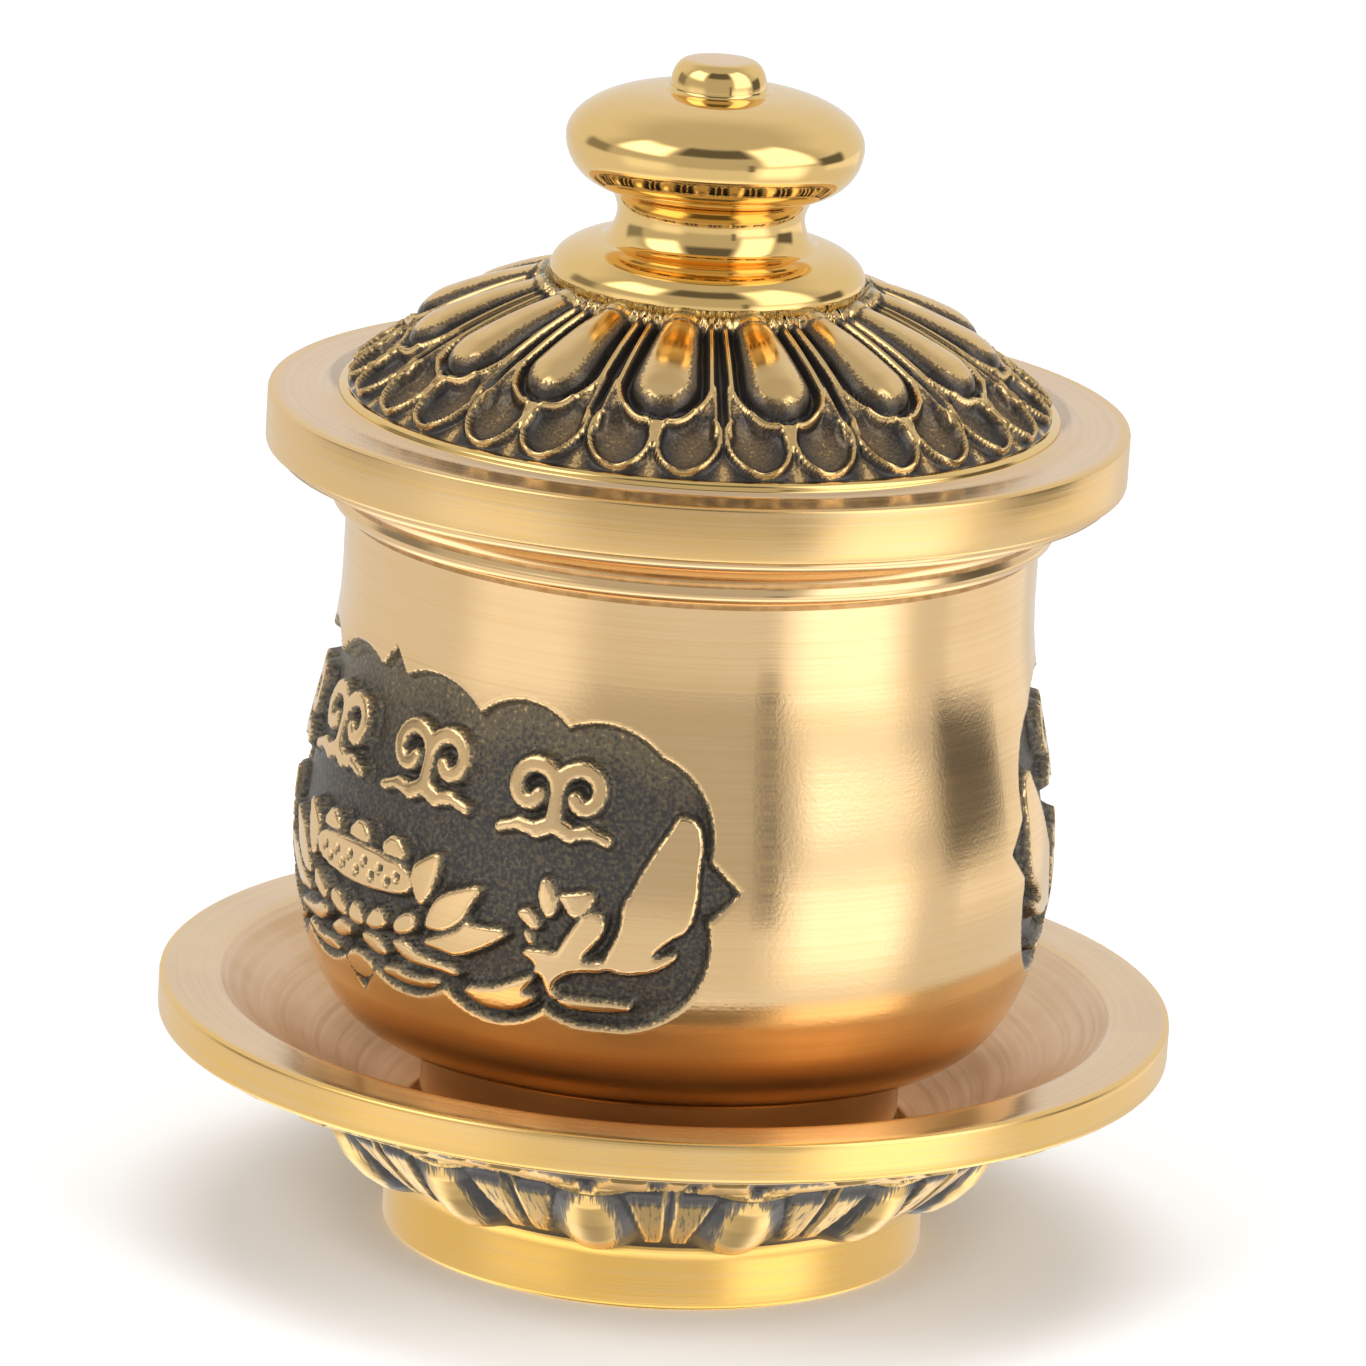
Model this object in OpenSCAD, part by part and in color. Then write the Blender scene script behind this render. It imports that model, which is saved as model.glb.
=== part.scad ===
// Brass water offering cup: a saucer on a lotus base, a footed cup with two carved
// panels and a domed lotus lid with a turned knob. Z is the turning axis and the
// foot ring stands on z = 0. Azimuth 0 faces the viewer (-Y) and grows towards +X.

/* [Saucer] */
// Diameter across the rim
saucer_d = 75; // [70:0.5:90]
// Height of the rim's top face above the table
saucer_h = 18.5; // [17.5:0.1:22]
// Height of the turned band round the rim
rim_band_h = 3; // [2:0.1:4]
// Width of the flat top face of the rim
rim_face_w = 4.2; // [2:0.1:6]
// Overhang of the rim past the lotus base
rim_overhang = 1.2; // [0.5:0.1:2.5]
// Diameter of the foot ring
base_ring_d = 40.2; // [38:0.1:46]
// Height of the foot ring below the petals
base_ring_h = 4.8; // [3.5:0.1:6]
// Wall of the foot ring
base_ring_wall = 3.4; // [2:0.1:5]
// Height of the well's floor above the table
well_floor_h = 7; // [6.6:0.1:8.5]
// Depth of the well round the cup's foot
well_depth = 1.3; // [0.8:0.1:2.5]
// Metal between the hollow of the foot ring and the well
well_floor_t = 2; // [1.5:0.1:3]
// Play of the cup's foot in the well, all round
well_play = 1; // [0.4:0.1:1.5]

/* [Saucer petals] */
// Number of lotus petals under the saucer
base_petals = 16; // [10:1:18]
// Azimuth of the first petal's bulb
base_petal_turn = 13.5; // [0:0.5:45]
// Radius of the bulb at the low end of each petal
bulb_r = 2; // [1.5:0.1:2.4]
// Distance of the bulb up the slope from the foot ring
bulb_up = 5.6; // [4.5:0.1:7]
// Length of the petal's back above the bulb
petal_back_len = 7.5; // [4:0.1:9]
// Radius of the flat lobes beside each bulb
side_lobe_r = 1.65; // [1.2:0.05:1.9]
// Height of the side lobes and of the tips above the ground
side_lobe_h = 1.1; // [0.5:0.1:1.5]
// Radius of the petal tips under the rim
tip_r = 1.6; // [1.2:0.1:2]

/* [Cup] */
// Height of the cup from its foot to its lip
cup_h = 52; // [48:0.5:60]
// Diameter of the cup's foot
cup_foot_d = 35.6; // [30:0.1:37]
// Height of the foot below the bowl
cup_foot_h = 8; // [6.5:0.1:10]
// Depth of the recess under the foot
foot_recess_h = 3; // [1:0.1:3.8]
// Wall of the foot round that recess
foot_wall = 3; // [2:0.1:5]
// Diameter at the widest point of the bowl
belly_d = 56.3; // [54:0.1:60]
// Height of the widest point above the foot's face
belly_h = 23.5; // [21:0.1:26]
// Width of the rounded corner under the bowl
bowl_corner_w = 6.8; // [4:0.1:8]
// Rise of the bowl's underside from the foot to the corner
bowl_rise = 1; // [0.4:0.1:2]
// Diameter of the neck
neck_d = 50.8; // [48:0.1:54]
// Height of the straight neck under the flared lip
neck_band_h = 3.3; // [1:0.1:5]
// Height of the flared lip, from the groove at its foot to the top
flare_rise = 5.7; // [5:0.1:7]
// Width of the small step at that groove
step_w = 1.5; // [0.5:0.1:2]
// Height of the small step
step_h = 2.2; // [1:0.1:3]
// Diameter across the flared lip
lip_d = 61.2; // [58:0.1:62]
// Thickness of the lip's edge
lip_edge_t = 0.7; // [0.4:0.1:1.5]
// Wall of the cup
cup_wall = 2.3; // [2:0.1:3]
// Floor of the cup over the bowl's underside
cup_floor_t = 2.2; // [1.5:0.1:4]

/* [Panels] */
// Depth of the sunk ground of the panels
panel_depth = 1; // [0.4:0.1:1.3]
// Azimuth of the first panel's middle; the second is opposite
panel_turn = -54; // [-90:1:90]
// Height of the panels' middle above the widest point of the bowl
panel_up = 3.5; // [2.5:0.1:4.5]
// How far the raised motifs stay below the body's face
motif_drop = 0.1; // [0.05:0.05:0.3]

/* [Lid] */
// Diameter of the lid's flange
flange_d = 63; // [61.5:0.1:66]
// Thickness of the flange
flange_t = 3.95; // [3:0.05:5]
// Diameter of the lotus dome
dome_d = 51.4; // [48:0.1:54]
// Height of the turned bead round the dome
bead_h = 0.6; // [0.3:0.1:1]
// Width of the bead outside the dome
bead_w = 0.7; // [0.3:0.1:1.5]
// Height of the knob's seat above the flange's underside
seat_h = 12.4; // [11.5:0.1:14]
// Thickness of the crown under the knob
crown_t = 3; // [2:0.1:3.5]
// Wall of the dome
dome_wall = 2.4; // [1.8:0.1:3]
// Depth of the spigot that centres the lid in the cup
spigot_h = 4; // [2.5:0.1:5.5]
// Wall of the spigot
spigot_wall = 2; // [1.5:0.1:3]
// Play of the spigot in the cup's mouth, all round
spigot_play = 0.35; // [0.3:0.05:0.6]

/* [Lid petals] */
// Number of long petals round the dome
lid_petals = 15; // [10:1:15]
// Azimuth of the first petal
lid_petal_turn = -7.5; // [-12:0.5:12]
// Radius of a petal at its round lower end
petal_end_r = 2.3; // [1.2:0.1:2.5]
// Radius of a petal at the knob
petal_root_r = 1.2; // [0.6:0.1:1.3]
// Distance of the petal's lower end from the axis
petal_reach = 18.8; // [17.5:0.1:19]
// How far the petal's axis is sunk in the dome
petal_sink = 0.6; // [0.2:0.1:0.9]
// Radius of the thin ribs beside each petal
rib_r = 0.4; // [0.25:0.05:0.5]
// Gap between the ribs of neighbouring petals at their lower ends
rib_gap = 0.7; // [0.4:0.1:1]
// Distance of the scallops' middles from the axis
scallop_reach = 23.1; // [22.5:0.1:23.3]
// Gap between neighbouring scallops
scallop_gap = 0.2; // [0.1:0.05:0.6]
// Height of a scallop's edge above the dome
scallop_edge_h = 0.5; // [0.3:0.1:0.8]
// Depth of a scallop's dish
scallop_depth = 0.8; // [0.4:0.1:1]

/* [Knob] */
// Height of the knob above its seat
knob_h = 17.1; // [16:0.1:20]
// Diameter of the knob's disc
knob_d = 21.7; // [19:0.1:25]
// Height of the disc's edge above the seat
knob_edge_h = 11.2; // [11:0.1:11.8]
// Height of the disc's top above the seat
knob_top_h = 14.9; // [14:0.1:15.5]
// Diameter of the knob's neck
knob_neck_d = 14.5; // [12:0.1:16]
// Diameter of the knob's flange on the lid
knob_flange_d = 23; // [20:0.1:25]
// Height of the widest part of that flange
knob_flange_edge_h = 1.3; // [0.8:0.1:2]
// Height of the rounded top of that flange
knob_flange_h = 2.5; // [1.5:0.1:2.8]
// Diameter of the button on top
button_d = 7; // [5:0.1:9]
// Flat on the button's top
button_flat_d = 4.6; // [2:0.1:4.8]

/* [Knob screw] */
// Thread diameter of the screw that holds the knob
screw_d = 4; // [3:0.5:5]
// Depth of the threaded hole in the knob
screw_hole_h = 8; // [6:0.5:10]
// Diameter of the screw's head
screw_head_d = 7.6; // [6:0.1:9]
// Height of the screw's head
screw_head_h = 2.4; // [1.5:0.1:3]
// Width of the driver slot
slot_w = 1; // [0.6:0.1:1.4]
// Depth of the driver slot
slot_h = 1.1; // [0.6:0.1:1.3]
// Diameter of the washer
washer_d = 10; // [9.5:0.5:14]
// Thickness of the washer
washer_t = 1; // [0.5:0.1:1.5]
// Play of the screw in its holes, all round
screw_play = 0.15; // [0.1:0.05:0.3]
// Gap between the screw's end and the bottom of its hole
screw_end_gap = 0.6; // [0.3:0.1:1.5]

/* [Hidden] */
$fn = 96;
// Points along a quarter of an ellipse
arc_steps = 10;
// Points along the same stretch of the panels' ground and motifs
panel_steps = 4;
// Amount by which a cutting or joining solid reaches past a face
past = 0.2;
// Size of the broken edges
edge_break = 0.3;
// Share of a round end's radius at which a taper or a flat runs into it
round_share = 0.96;
// Place of the side lobes: share of the pitch beside a bulb, share of the bulb's place up the slope
side_lobe_turn_share = 0.29;
side_lobe_up_share = 0.9;
// Angle at which the curves of the knob's flange and disc end at its neck
neck_angle = 84;

saucer_r = saucer_d / 2;
base_ring_r = base_ring_d / 2;
cup_foot_r = cup_foot_d / 2;
well_r = cup_foot_r + well_play;
hollow_h = well_floor_h - well_floor_t;

// The slope that carries the saucer's petals
slope_out_r = saucer_r - rim_overhang;
slope_top_h = saucer_h - rim_band_h;
slope_run = slope_out_r - base_ring_r;
slope_rise = slope_top_h - base_ring_h;
slope_angle = atan2(slope_rise, slope_run);
slope_len = norm([slope_run, slope_rise]);
petal_pitch = 360 / base_petals;

belly_r = belly_d / 2;
neck_r = neck_d / 2;
lip_r = lip_d / 2;
mouth_r = neck_r - cup_wall;
flare_h = cup_h - flare_rise;
neck_h = flare_h - neck_band_h;
panel_mid_h = belly_h + panel_up;
bowl_base_h = cup_foot_h + bowl_rise;
bowl_floor_h = bowl_base_h + cup_floor_t;
// Bars along the radius that shape the panels start below the sunk ground and end outside the wall
bar_spare = 1.8;
bar_in = panel_depth + bar_spare;
bar_out = 3;
bar_len = bar_in + bar_out;

// The sphere that carries the lid's petals, through the knob's seat and the dome's edge
knob_flange_r = knob_flange_d / 2;
dome_r = dome_d / 2;
flange_r = flange_d / 2;
dome_edge_h = flange_t + bead_h;
dome_mid_h = (pow(knob_flange_r, 2) - pow(dome_r, 2) + pow(seat_h, 2) - pow(dome_edge_h, 2))
    / (2 * (seat_h - dome_edge_h));
dome_ball_r = norm([knob_flange_r, seat_h - dome_mid_h]);
spigot_r = mouth_r - spigot_play;
lid_hollow_r = spigot_r - spigot_wall;
crown_under_h = seat_h - crown_t;
lid_h = well_floor_h + cup_h;
knob_z = lid_h + seat_h;
lid_pitch = 360 / lid_petals;
scallop_r = scallop_reach * sin(lid_pitch / 4) - scallop_gap / 2;
rib_low_r = petal_reach + petal_end_r / 2;
rib_low_a = lid_pitch / 2 - asin((rib_gap / 2 + rib_r) / rib_low_r);
rib_top_r = knob_flange_r - past;
rib_top_a = lid_pitch / 2 - asin((rib_gap / 2 + rib_r) / rib_top_r);

knob_r = knob_d / 2;
knob_neck_r = knob_neck_d / 2;
button_r = button_d / 2;
screw_r = screw_d / 2;
screw_len = crown_t + washer_t + screw_hole_h - screw_end_gap;

satin_brass = [0.84, 0.69, 0.42];
polished_brass = [0.82, 0.65, 0.30];
cast_brass = [0.62, 0.49, 0.27];
bright_brass = [0.87, 0.70, 0.34];
steel = [0.72, 0.72, 0.73];

// Points on part of an ellipse, from one angle to another
function arc_points(mid_r, mid_h, size_r, size_h, from, to, steps = arc_steps) =
    [for (i = [0 : steps])
        let (a = from + (to - from) * i / steps)
        [mid_r + size_r * cos(a), mid_h + size_h * sin(a)]];

// Points on a curve that leaves p towards q and arrives at s
function bend_points(p, q, s) =
    [for (i = [0 : arc_steps])
        let (t = i / arc_steps)
        pow(1 - t, 2) * p + 2 * t * (1 - t) * q + pow(t, 2) * s];

// Height of the dome's ball above the lid's underside, at a distance from the axis
function dome_height(r) = dome_mid_h + sqrt(pow(dome_ball_r, 2) - pow(r, 2));

// Outline of the cup's body, drawn in by inset, from the bowl's corner up to the neck
function bowl_points(inset, base_h, steps = arc_steps) = concat(
    arc_points(
        belly_r - bowl_corner_w, belly_h, bowl_corner_w - inset, belly_h - base_h, -90, 0, steps),
    [for (i = [1 : steps])
        let (t = i / steps)
        [neck_r - inset + (belly_r - neck_r) * (1 + cos(180 * t)) / 2,
         belly_h + (neck_h - belly_h) * t]]);

// Radius of the cup's body at a height above its foot
function side_r(h) = h > belly_h
    ? neck_r + (belly_r - neck_r) * (1 + cos(180 * min(1, (h - belly_h) / (neck_h - belly_h)))) / 2
    : belly_r - bowl_corner_w
        + bowl_corner_w * sqrt(1 - pow((belly_h - h) / (belly_h - bowl_base_h), 2));

// Turns a piece drawn on the X axis to an azimuth
module at_azimuth(a) {
    rotate([0, 0, a - 90])
        children();
}

// A place on the saucer's slope: Z points out of the metal and X down the slope
module on_slope(a, up) {
    at_azimuth(a)
        translate([
            base_ring_r + up * cos(slope_angle),
            0,
            base_ring_h + up * sin(slope_angle)
        ])
        rotate([0, 180 - slope_angle, 0])
        children();
}

// A place on the lid's dome: Z points out of the metal and X down the dome
module on_dome(a, r) {
    at_azimuth(a)
        translate([r, 0, dome_height(r)])
        rotate([0, asin(r / dome_ball_r), 0])
        children();
}

// A low round boss with a flat foot: the cap of a ball
module cap(r, h) {
    ball_r = (pow(r, 2) + pow(h, 2)) / (2 * h);
    translate([0, 0, h - ball_r])
        intersection() {
            sphere(r = ball_r);
            translate([0, 0, ball_r - h - past])
                cylinder(r = r + past, h = h + 2 * past);
        }
}

// A round bar from one point to another
module bar(p, q, r_p, r_q) {
    d = q - p;
    translate(p)
        rotate([0, acos(d[2] / norm(d)), atan2(d[1], d[0])])
        cylinder(h = norm(d), r1 = r_p, r2 = r_q, $fn = 32);
}

// One petal of the lotus base: a bulb with a tapered back, two flat lobes and two tips
module base_petal(a) {
    back_r = bulb_r * round_share;
    on_slope(a, bulb_up) {
        sphere(r = bulb_r, $fn = 48);
        rotate([0, -90, 0])
            cylinder(h = petal_back_len, r1 = back_r, r2 = back_r / 3, $fn = 48);
    }
    for (side = [-1, 1]) {
        on_slope(a + side * petal_pitch * side_lobe_turn_share, bulb_up * side_lobe_up_share)
            cap(side_lobe_r, side_lobe_h);
        on_slope(a + side * petal_pitch / 4, slope_len - tip_r - past)
            cap(tip_r, side_lobe_h);
    }
}

module saucer() {
    color(satin_brass)
        union() {
            rotate_extrude()
                polygon([
                    [base_ring_r - base_ring_wall, 0],
                    [base_ring_r - edge_break, 0],
                    [base_ring_r, edge_break],
                    [base_ring_r, base_ring_h],
                    [slope_out_r, slope_top_h],
                    [saucer_r - edge_break, slope_top_h],
                    [saucer_r, slope_top_h + edge_break],
                    [saucer_r, saucer_h - edge_break],
                    [saucer_r - edge_break, saucer_h],
                    [saucer_r - rim_face_w, saucer_h],
                    [well_r, well_floor_h + well_depth],
                    [well_r, well_floor_h],
                    [0, well_floor_h],
                    [0, hollow_h],
                    [base_ring_r - base_ring_wall, hollow_h]
                ]);
            for (i = [0 : base_petals - 1])
                base_petal(base_petal_turn + i * petal_pitch);
        }
}

// Ring of the cup's body between two depths below its face
module body_ring(deep, shallow) {
    inside = bowl_points(deep, bowl_base_h + deep, panel_steps);
    outside = bowl_points(shallow, bowl_base_h + shallow, panel_steps);
    rotate_extrude()
        polygon(concat(inside, [for (i = [2 * panel_steps : -1 : 0]) outside[i]]));
}

// A place in the cup's wall: Z points out along the radius and X down
module on_side(a, h) {
    at_azimuth(a)
        translate([side_r(h) - bar_in, 0, h])
        rotate([0, 90, 0])
        children();
}

// A pointed leaf shape, lying across, as a bar along the radius
module leaf(a, h, length, width, tilt) {
    round_r = (pow(length, 2) + pow(width, 2)) / (4 * width);
    on_side(a, h)
        rotate([0, 0, tilt])
        intersection_for (side = [-1, 1])
            translate([side * (round_r - width / 2), 0, 0])
            cylinder(r = round_r, h = bar_len, $fn = 64);
}

// A round dot as a bar along the radius
module dot(a, h, r) {
    on_side(a, h)
        cylinder(r = r, h = bar_len, $fn = 48);
}

// A block with round sides, half an angle to each side of an azimuth, between two heights
module sector(a, half_angle, low_h, top_h) {
    rotate([0, 0, a - 90 - half_angle])
        rotate_extrude(angle = 2 * half_angle)
        translate([neck_r - bar_in, low_h])
        square([belly_r - neck_r + bar_len, top_h - low_h]);
}

// Lobes of the panel's edge: azimuth from its middle, height from its middle, radius
panel_lobes = [
    [10.5, 5.1, 7.4], [28.5, 6.4, 5.75], [41.8, 4.4, 6.9], [47.8, 3.6, 6.05],
    [46.5, -4, 6.8], [43, -4.4, 6.45], [27.5, -5.7, 5.8], [11, -4.65, 6.45]
];
// Points of the panel's edge: azimuth, height and half width of a square on its corner
panel_points = [[0, 11.05, 2.4], [0, -9.9, 2.4], [57.5, 0, 3.4]];
// Blocks of the panel's middle: half angle, lower and upper edge from its middle
panel_blocks = [[59.6, -3.8, 4.6], [50, -8.8, 8.8], [8, 7, 11.4]];

// Leaf shapes of the raised lotus: azimuth, height, length, width, tilt from lying across
lotus_leaves = [
    // crown of the flower above its seed pod
    [0, -0.2, 3, 1.3, 0], [8.2, -0.3, 2.8, 1.3, 0],
    // upright petals below the pod
    [0, -5.8, 3.2, 2.2, 90], [6.4, -5.8, 3.2, 2.1, 86], [12, -6.1, 2.8, 1.7, 78],
    // outer petals
    [15.6, -1.8, 4.4, 1.6, 72], [21.5, -4.3, 6, 2, 56], [26.4, -5.7, 4.9, 1.8, 42],
    // long petals lying on the water
    [8, -9, 6.2, 1.3, 6], [20, -8.5, 4.6, 1.2, 12],
    // young leaf on its stem
    [33.4, -3.7, 3, 1.1, 131], [35.6, -1.7, 3.4, 1.2, 100],
    [39.4, -3, 2.7, 1.1, 75], [42.9, -3, 3.1, 1.2, 62], [38, -6.4, 2.2, 0.9, 80],
    // large leaf at the side
    [52, -0.4, 10, 4.2, 80],
    // ripples
    [29, -9.9, 5, 1.1, -4], [44, -9.1, 6, 1.2, 8],
    // tails of the clouds
    [12, 3.7, 6.4, 1.2, 0], [35.5, 3.1, 6.4, 1.2, 0]
];
// Round tufts of the clouds above the lotus: azimuth, height, radius
cloud_tufts = [
    [8.2, 6.8, 2.2], [15.8, 6.8, 2.2],
    [31.7, 6.2, 2.2], [39.3, 6.2, 2.2]
];
// The seed pod: half angle, height and half its own height
pod_half_angle = 10.5;
pod_h = -2.45;
pod_r = 1.25;

// The sunk shape of a panel as bars along the radius
module panel_shape(turn) {
    for (b = panel_blocks)
        sector(turn, b[0], panel_mid_h + b[1], panel_mid_h + b[2]);
    for (side = [-1, 1])
        for (l = panel_lobes)
            dot(turn + side * l[0], panel_mid_h + l[1], l[2]);
    for (p = panel_points)
        for (side = p[0] == 0 ? [1] : [-1, 1])
            on_side(turn + side * p[0], panel_mid_h + p[1])
                cylinder(r = p[2], h = bar_len, $fn = 4);
}

// The raised lotus, leaves and clouds of a panel as bars along the radius
module panel_motifs(turn) {
    pod_mid_h = panel_mid_h + pod_h;
    pod_flat = pod_r * round_share;
    sector(turn, pod_half_angle, pod_mid_h - pod_flat, pod_mid_h + pod_flat);
    for (side = [-1, 1]) {
        dot(turn + side * pod_half_angle, pod_mid_h, pod_r);
        for (l = lotus_leaves)
            if (side == 1 || l[0] > 0)
                leaf(turn + side * l[0], panel_mid_h + l[1], l[2], l[3], side * l[4]);
        for (c = cloud_tufts)
            dot(turn + side * c[0], panel_mid_h + c[1], c[2]);
    }
}

module cup() {
    outer = concat(
        [[cup_foot_r - edge_break, 0], [cup_foot_r, edge_break], [cup_foot_r, cup_foot_h]],
        bowl_points(0, bowl_base_h),
        [[neck_r, flare_h]],
        bend_points(
            [neck_r + step_w, flare_h + step_h],
            [neck_r + step_w + (lip_r - neck_r) / 4, (flare_h + step_h + cup_h) / 2],
            [lip_r, cup_h - lip_edge_t]),
        [[lip_r, cup_h], [mouth_r, cup_h], [mouth_r, neck_h]]);
    inner = bowl_points(cup_wall, bowl_floor_h);
    foot_in_r = cup_foot_r - foot_wall;
    color(polished_brass)
        translate([0, 0, well_floor_h])
        union() {
            difference() {
                rotate_extrude()
                    polygon(concat(
                        outer,
                        [for (i = [2 * arc_steps - 1 : -1 : 0]) inner[i]],
                        [
                            [0, bowl_floor_h],
                            [0, foot_recess_h],
                            [foot_in_r, foot_recess_h],
                            [foot_in_r, 0]
                        ]));
                for (turn = [panel_turn, panel_turn + 180])
                    intersection() {
                        body_ring(panel_depth, -panel_depth);
                        panel_shape(turn);
                    }
            }
            for (turn = [panel_turn, panel_turn + 180])
                intersection() {
                    body_ring(panel_depth + past, motif_drop);
                    panel_motifs(turn);
                }
        }
}

// One long petal of the dome with a thin rib on each side
module lid_petal(a) {
    end = [petal_reach, dome_height(petal_reach) - petal_sink];
    root = [rib_top_r, dome_height(rib_top_r) - petal_sink];
    at_azimuth(a) {
        bar([end[0], 0, end[1]], [root[0], 0, root[1]], petal_end_r * round_share, petal_root_r);
        translate([end[0], 0, end[1]])
            sphere(r = petal_end_r, $fn = 48);
    }
    for (side = [-1, 1])
        at_azimuth(a)
            bar(
                [rib_low_r * cos(rib_low_a), side * rib_low_r * sin(rib_low_a), dome_height(rib_low_r)],
                [rib_top_r * cos(rib_top_a), side * rib_top_r * sin(rib_top_a), dome_height(rib_top_r)],
                rib_r, rib_r);
}

// One scallop at the dome's foot: a low disc with a round dish in it
module scallop_disc(a) {
    on_dome(a, scallop_reach)
        translate([0, 0, -scallop_edge_h])
        cylinder(r = scallop_r, h = 2 * scallop_edge_h, $fn = 48);
}

module scallop_dish(a) {
    dish_r = scallop_r - rib_r / 2;
    ball_r = (pow(dish_r, 2) + pow(scallop_depth, 2)) / (2 * scallop_depth);
    on_dome(a, scallop_reach)
        translate([0, 0, scallop_edge_h - scallop_depth + ball_r])
        sphere(r = ball_r, $fn = 64);
}

module lid() {
    color(cast_brass)
        translate([0, 0, lid_h])
        difference() {
            union() {
                rotate_extrude()
                    polygon([
                        [0, 0],
                        [0, -spigot_h],
                        [spigot_r - edge_break, -spigot_h],
                        [spigot_r, edge_break - spigot_h],
                        [spigot_r, 0],
                        [flange_r - edge_break, 0],
                        [flange_r, edge_break],
                        [flange_r, flange_t - edge_break],
                        [flange_r - edge_break, flange_t],
                        [dome_r + bead_w, flange_t],
                        [dome_r + bead_w, flange_t + bead_h / 2],
                        [dome_r + bead_w / 2, dome_edge_h],
                        [0, dome_edge_h]
                    ]);
                intersection() {
                    translate([0, 0, dome_mid_h])
                        sphere(r = dome_ball_r, $fn = 180);
                    cylinder(r = flange_r, h = seat_h);
                }
                for (i = [0 : lid_petals - 1]) {
                    a = lid_petal_turn + i * lid_pitch;
                    lid_petal(a);
                    for (side = [-1, 1])
                        scallop_disc(a + side * lid_pitch / 4);
                }
            }
            for (i = [0 : lid_petals - 1])
                for (side = [-1, 1])
                    scallop_dish(lid_petal_turn + i * lid_pitch + side * lid_pitch / 4);
            // Flat seat for the knob, turned through the petals' roots
            translate([0, 0, seat_h])
                cylinder(r = knob_flange_r + past, h = knob_h);
            // Hollow under the dome, with a flat under the crown for the washer
            translate([0, 0, -spigot_h - past])
                cylinder(r = lid_hollow_r, h = spigot_h + past);
            intersection() {
                translate([0, 0, dome_mid_h])
                    sphere(r = dome_ball_r - dome_wall, $fn = 180);
                translate([0, 0, -past])
                    cylinder(r = lid_hollow_r, h = crown_under_h + past);
            }
            cylinder(r = screw_r + screw_play, h = seat_h + past);
        }
}

module knob() {
    neck_low_h = knob_flange_edge_h + knob_flange_h;
    corner_r = knob_r - knob_neck_r;
    disc_corner_r = min(corner_r, knob_edge_h - neck_low_h - past);
    color(bright_brass)
        translate([0, 0, knob_z])
        difference() {
            rotate_extrude()
                polygon(concat(
                    [[0, 0], [knob_flange_r - 2 * edge_break, 0]],
                    arc_points(
                        knob_neck_r, knob_flange_edge_h,
                        knob_flange_r - knob_neck_r, knob_flange_h, 0, neck_angle),
                    arc_points(
                        knob_neck_r, knob_edge_h, corner_r, disc_corner_r, -neck_angle, 0),
                    arc_points(
                        button_r, knob_edge_h, knob_r - button_r, knob_top_h - knob_edge_h, 0, 90),
                    arc_points(
                        button_flat_d / 2, knob_top_h + edge_break,
                        button_r - button_flat_d / 2, knob_h - knob_top_h - edge_break, 0, 90),
                    [[0, knob_h]]));
            translate([0, 0, -past])
                cylinder(r = screw_r + screw_play, h = screw_hole_h + past, $fn = 48);
        }
}

module knob_screw() {
    color(steel)
        translate([0, 0, knob_z - crown_t - washer_t])
        difference() {
            union() {
                translate([0, 0, -screw_head_h])
                    cylinder(d = screw_head_d, h = screw_head_h, $fn = 48);
                cylinder(r = screw_r, h = screw_len, $fn = 48);
            }
            translate([-screw_head_d, -slot_w / 2, -screw_head_h - past])
                cube([2 * screw_head_d, slot_w, slot_h + past]);
        }
}

module knob_washer() {
    color(steel)
        translate([0, 0, knob_z - crown_t - washer_t])
        difference() {
            cylinder(d = washer_d, h = washer_t, $fn = 64);
            translate([0, 0, -past])
                cylinder(r = screw_r + screw_play, h = washer_t + 2 * past, $fn = 48);
        }
}

saucer();
cup();
lid();
knob();
knob_screw();
knob_washer();
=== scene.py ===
"""Looks of a lidded brass offering cup on its lotus saucer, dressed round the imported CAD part.

Lengths in the classes below are millimetres in the part's own frame: Z is the turning axis, the foot ring
stands on z = 0, azimuth 0 faces the viewer (-Y) and grows towards +X.
"""

import logging
import math
from collections.abc import Mapping, Sequence
from dataclasses import dataclass, field
from enum import Enum
from typing import Any

import bpy
import numpy as np
from mathutils import Matrix, Vector


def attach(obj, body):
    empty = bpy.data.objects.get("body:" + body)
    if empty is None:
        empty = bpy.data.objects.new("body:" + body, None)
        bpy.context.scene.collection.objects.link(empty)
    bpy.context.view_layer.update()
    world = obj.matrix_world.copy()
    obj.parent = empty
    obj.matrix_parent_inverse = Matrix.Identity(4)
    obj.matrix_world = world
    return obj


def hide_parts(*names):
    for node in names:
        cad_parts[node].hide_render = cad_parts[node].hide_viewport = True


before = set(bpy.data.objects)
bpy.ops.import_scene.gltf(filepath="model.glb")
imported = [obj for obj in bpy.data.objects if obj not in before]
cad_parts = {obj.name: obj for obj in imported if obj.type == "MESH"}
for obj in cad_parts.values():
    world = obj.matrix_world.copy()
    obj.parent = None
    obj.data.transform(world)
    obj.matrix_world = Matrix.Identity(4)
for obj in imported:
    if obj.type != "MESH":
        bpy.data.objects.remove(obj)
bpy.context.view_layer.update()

LOG = logging.getLogger("offering_cup")
MM = 0.001
SEAM = 1e-6
# where a corner is cut, as shares of its sides
CUTS = (0.25, 0.75)
# places of the whole-number sockets of a Compare node and of the colour sockets of a Mix node
WHOLE_A, WHOLE_B = 2, 3
COLOUR_A, COLOUR_B, COLOUR_OUT = 6, 7, 2
Point = tuple[float, float]
Colour = tuple[float, float, float]
Grid = np.ndarray


class Zone(Enum):
    """Parts of a turned outline that have a finish of their own."""

    PLAIN = 0
    BAND = 1
    FACE = 2
    RELIEF = 3
    BEAD = 4
    SEAT = 5
    BODY = 6
    INSIDE = 7
    DISH = 8
    FOOT = 9
    # corners in the cup's neck that carry painted shade
    LINE = 10


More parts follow.
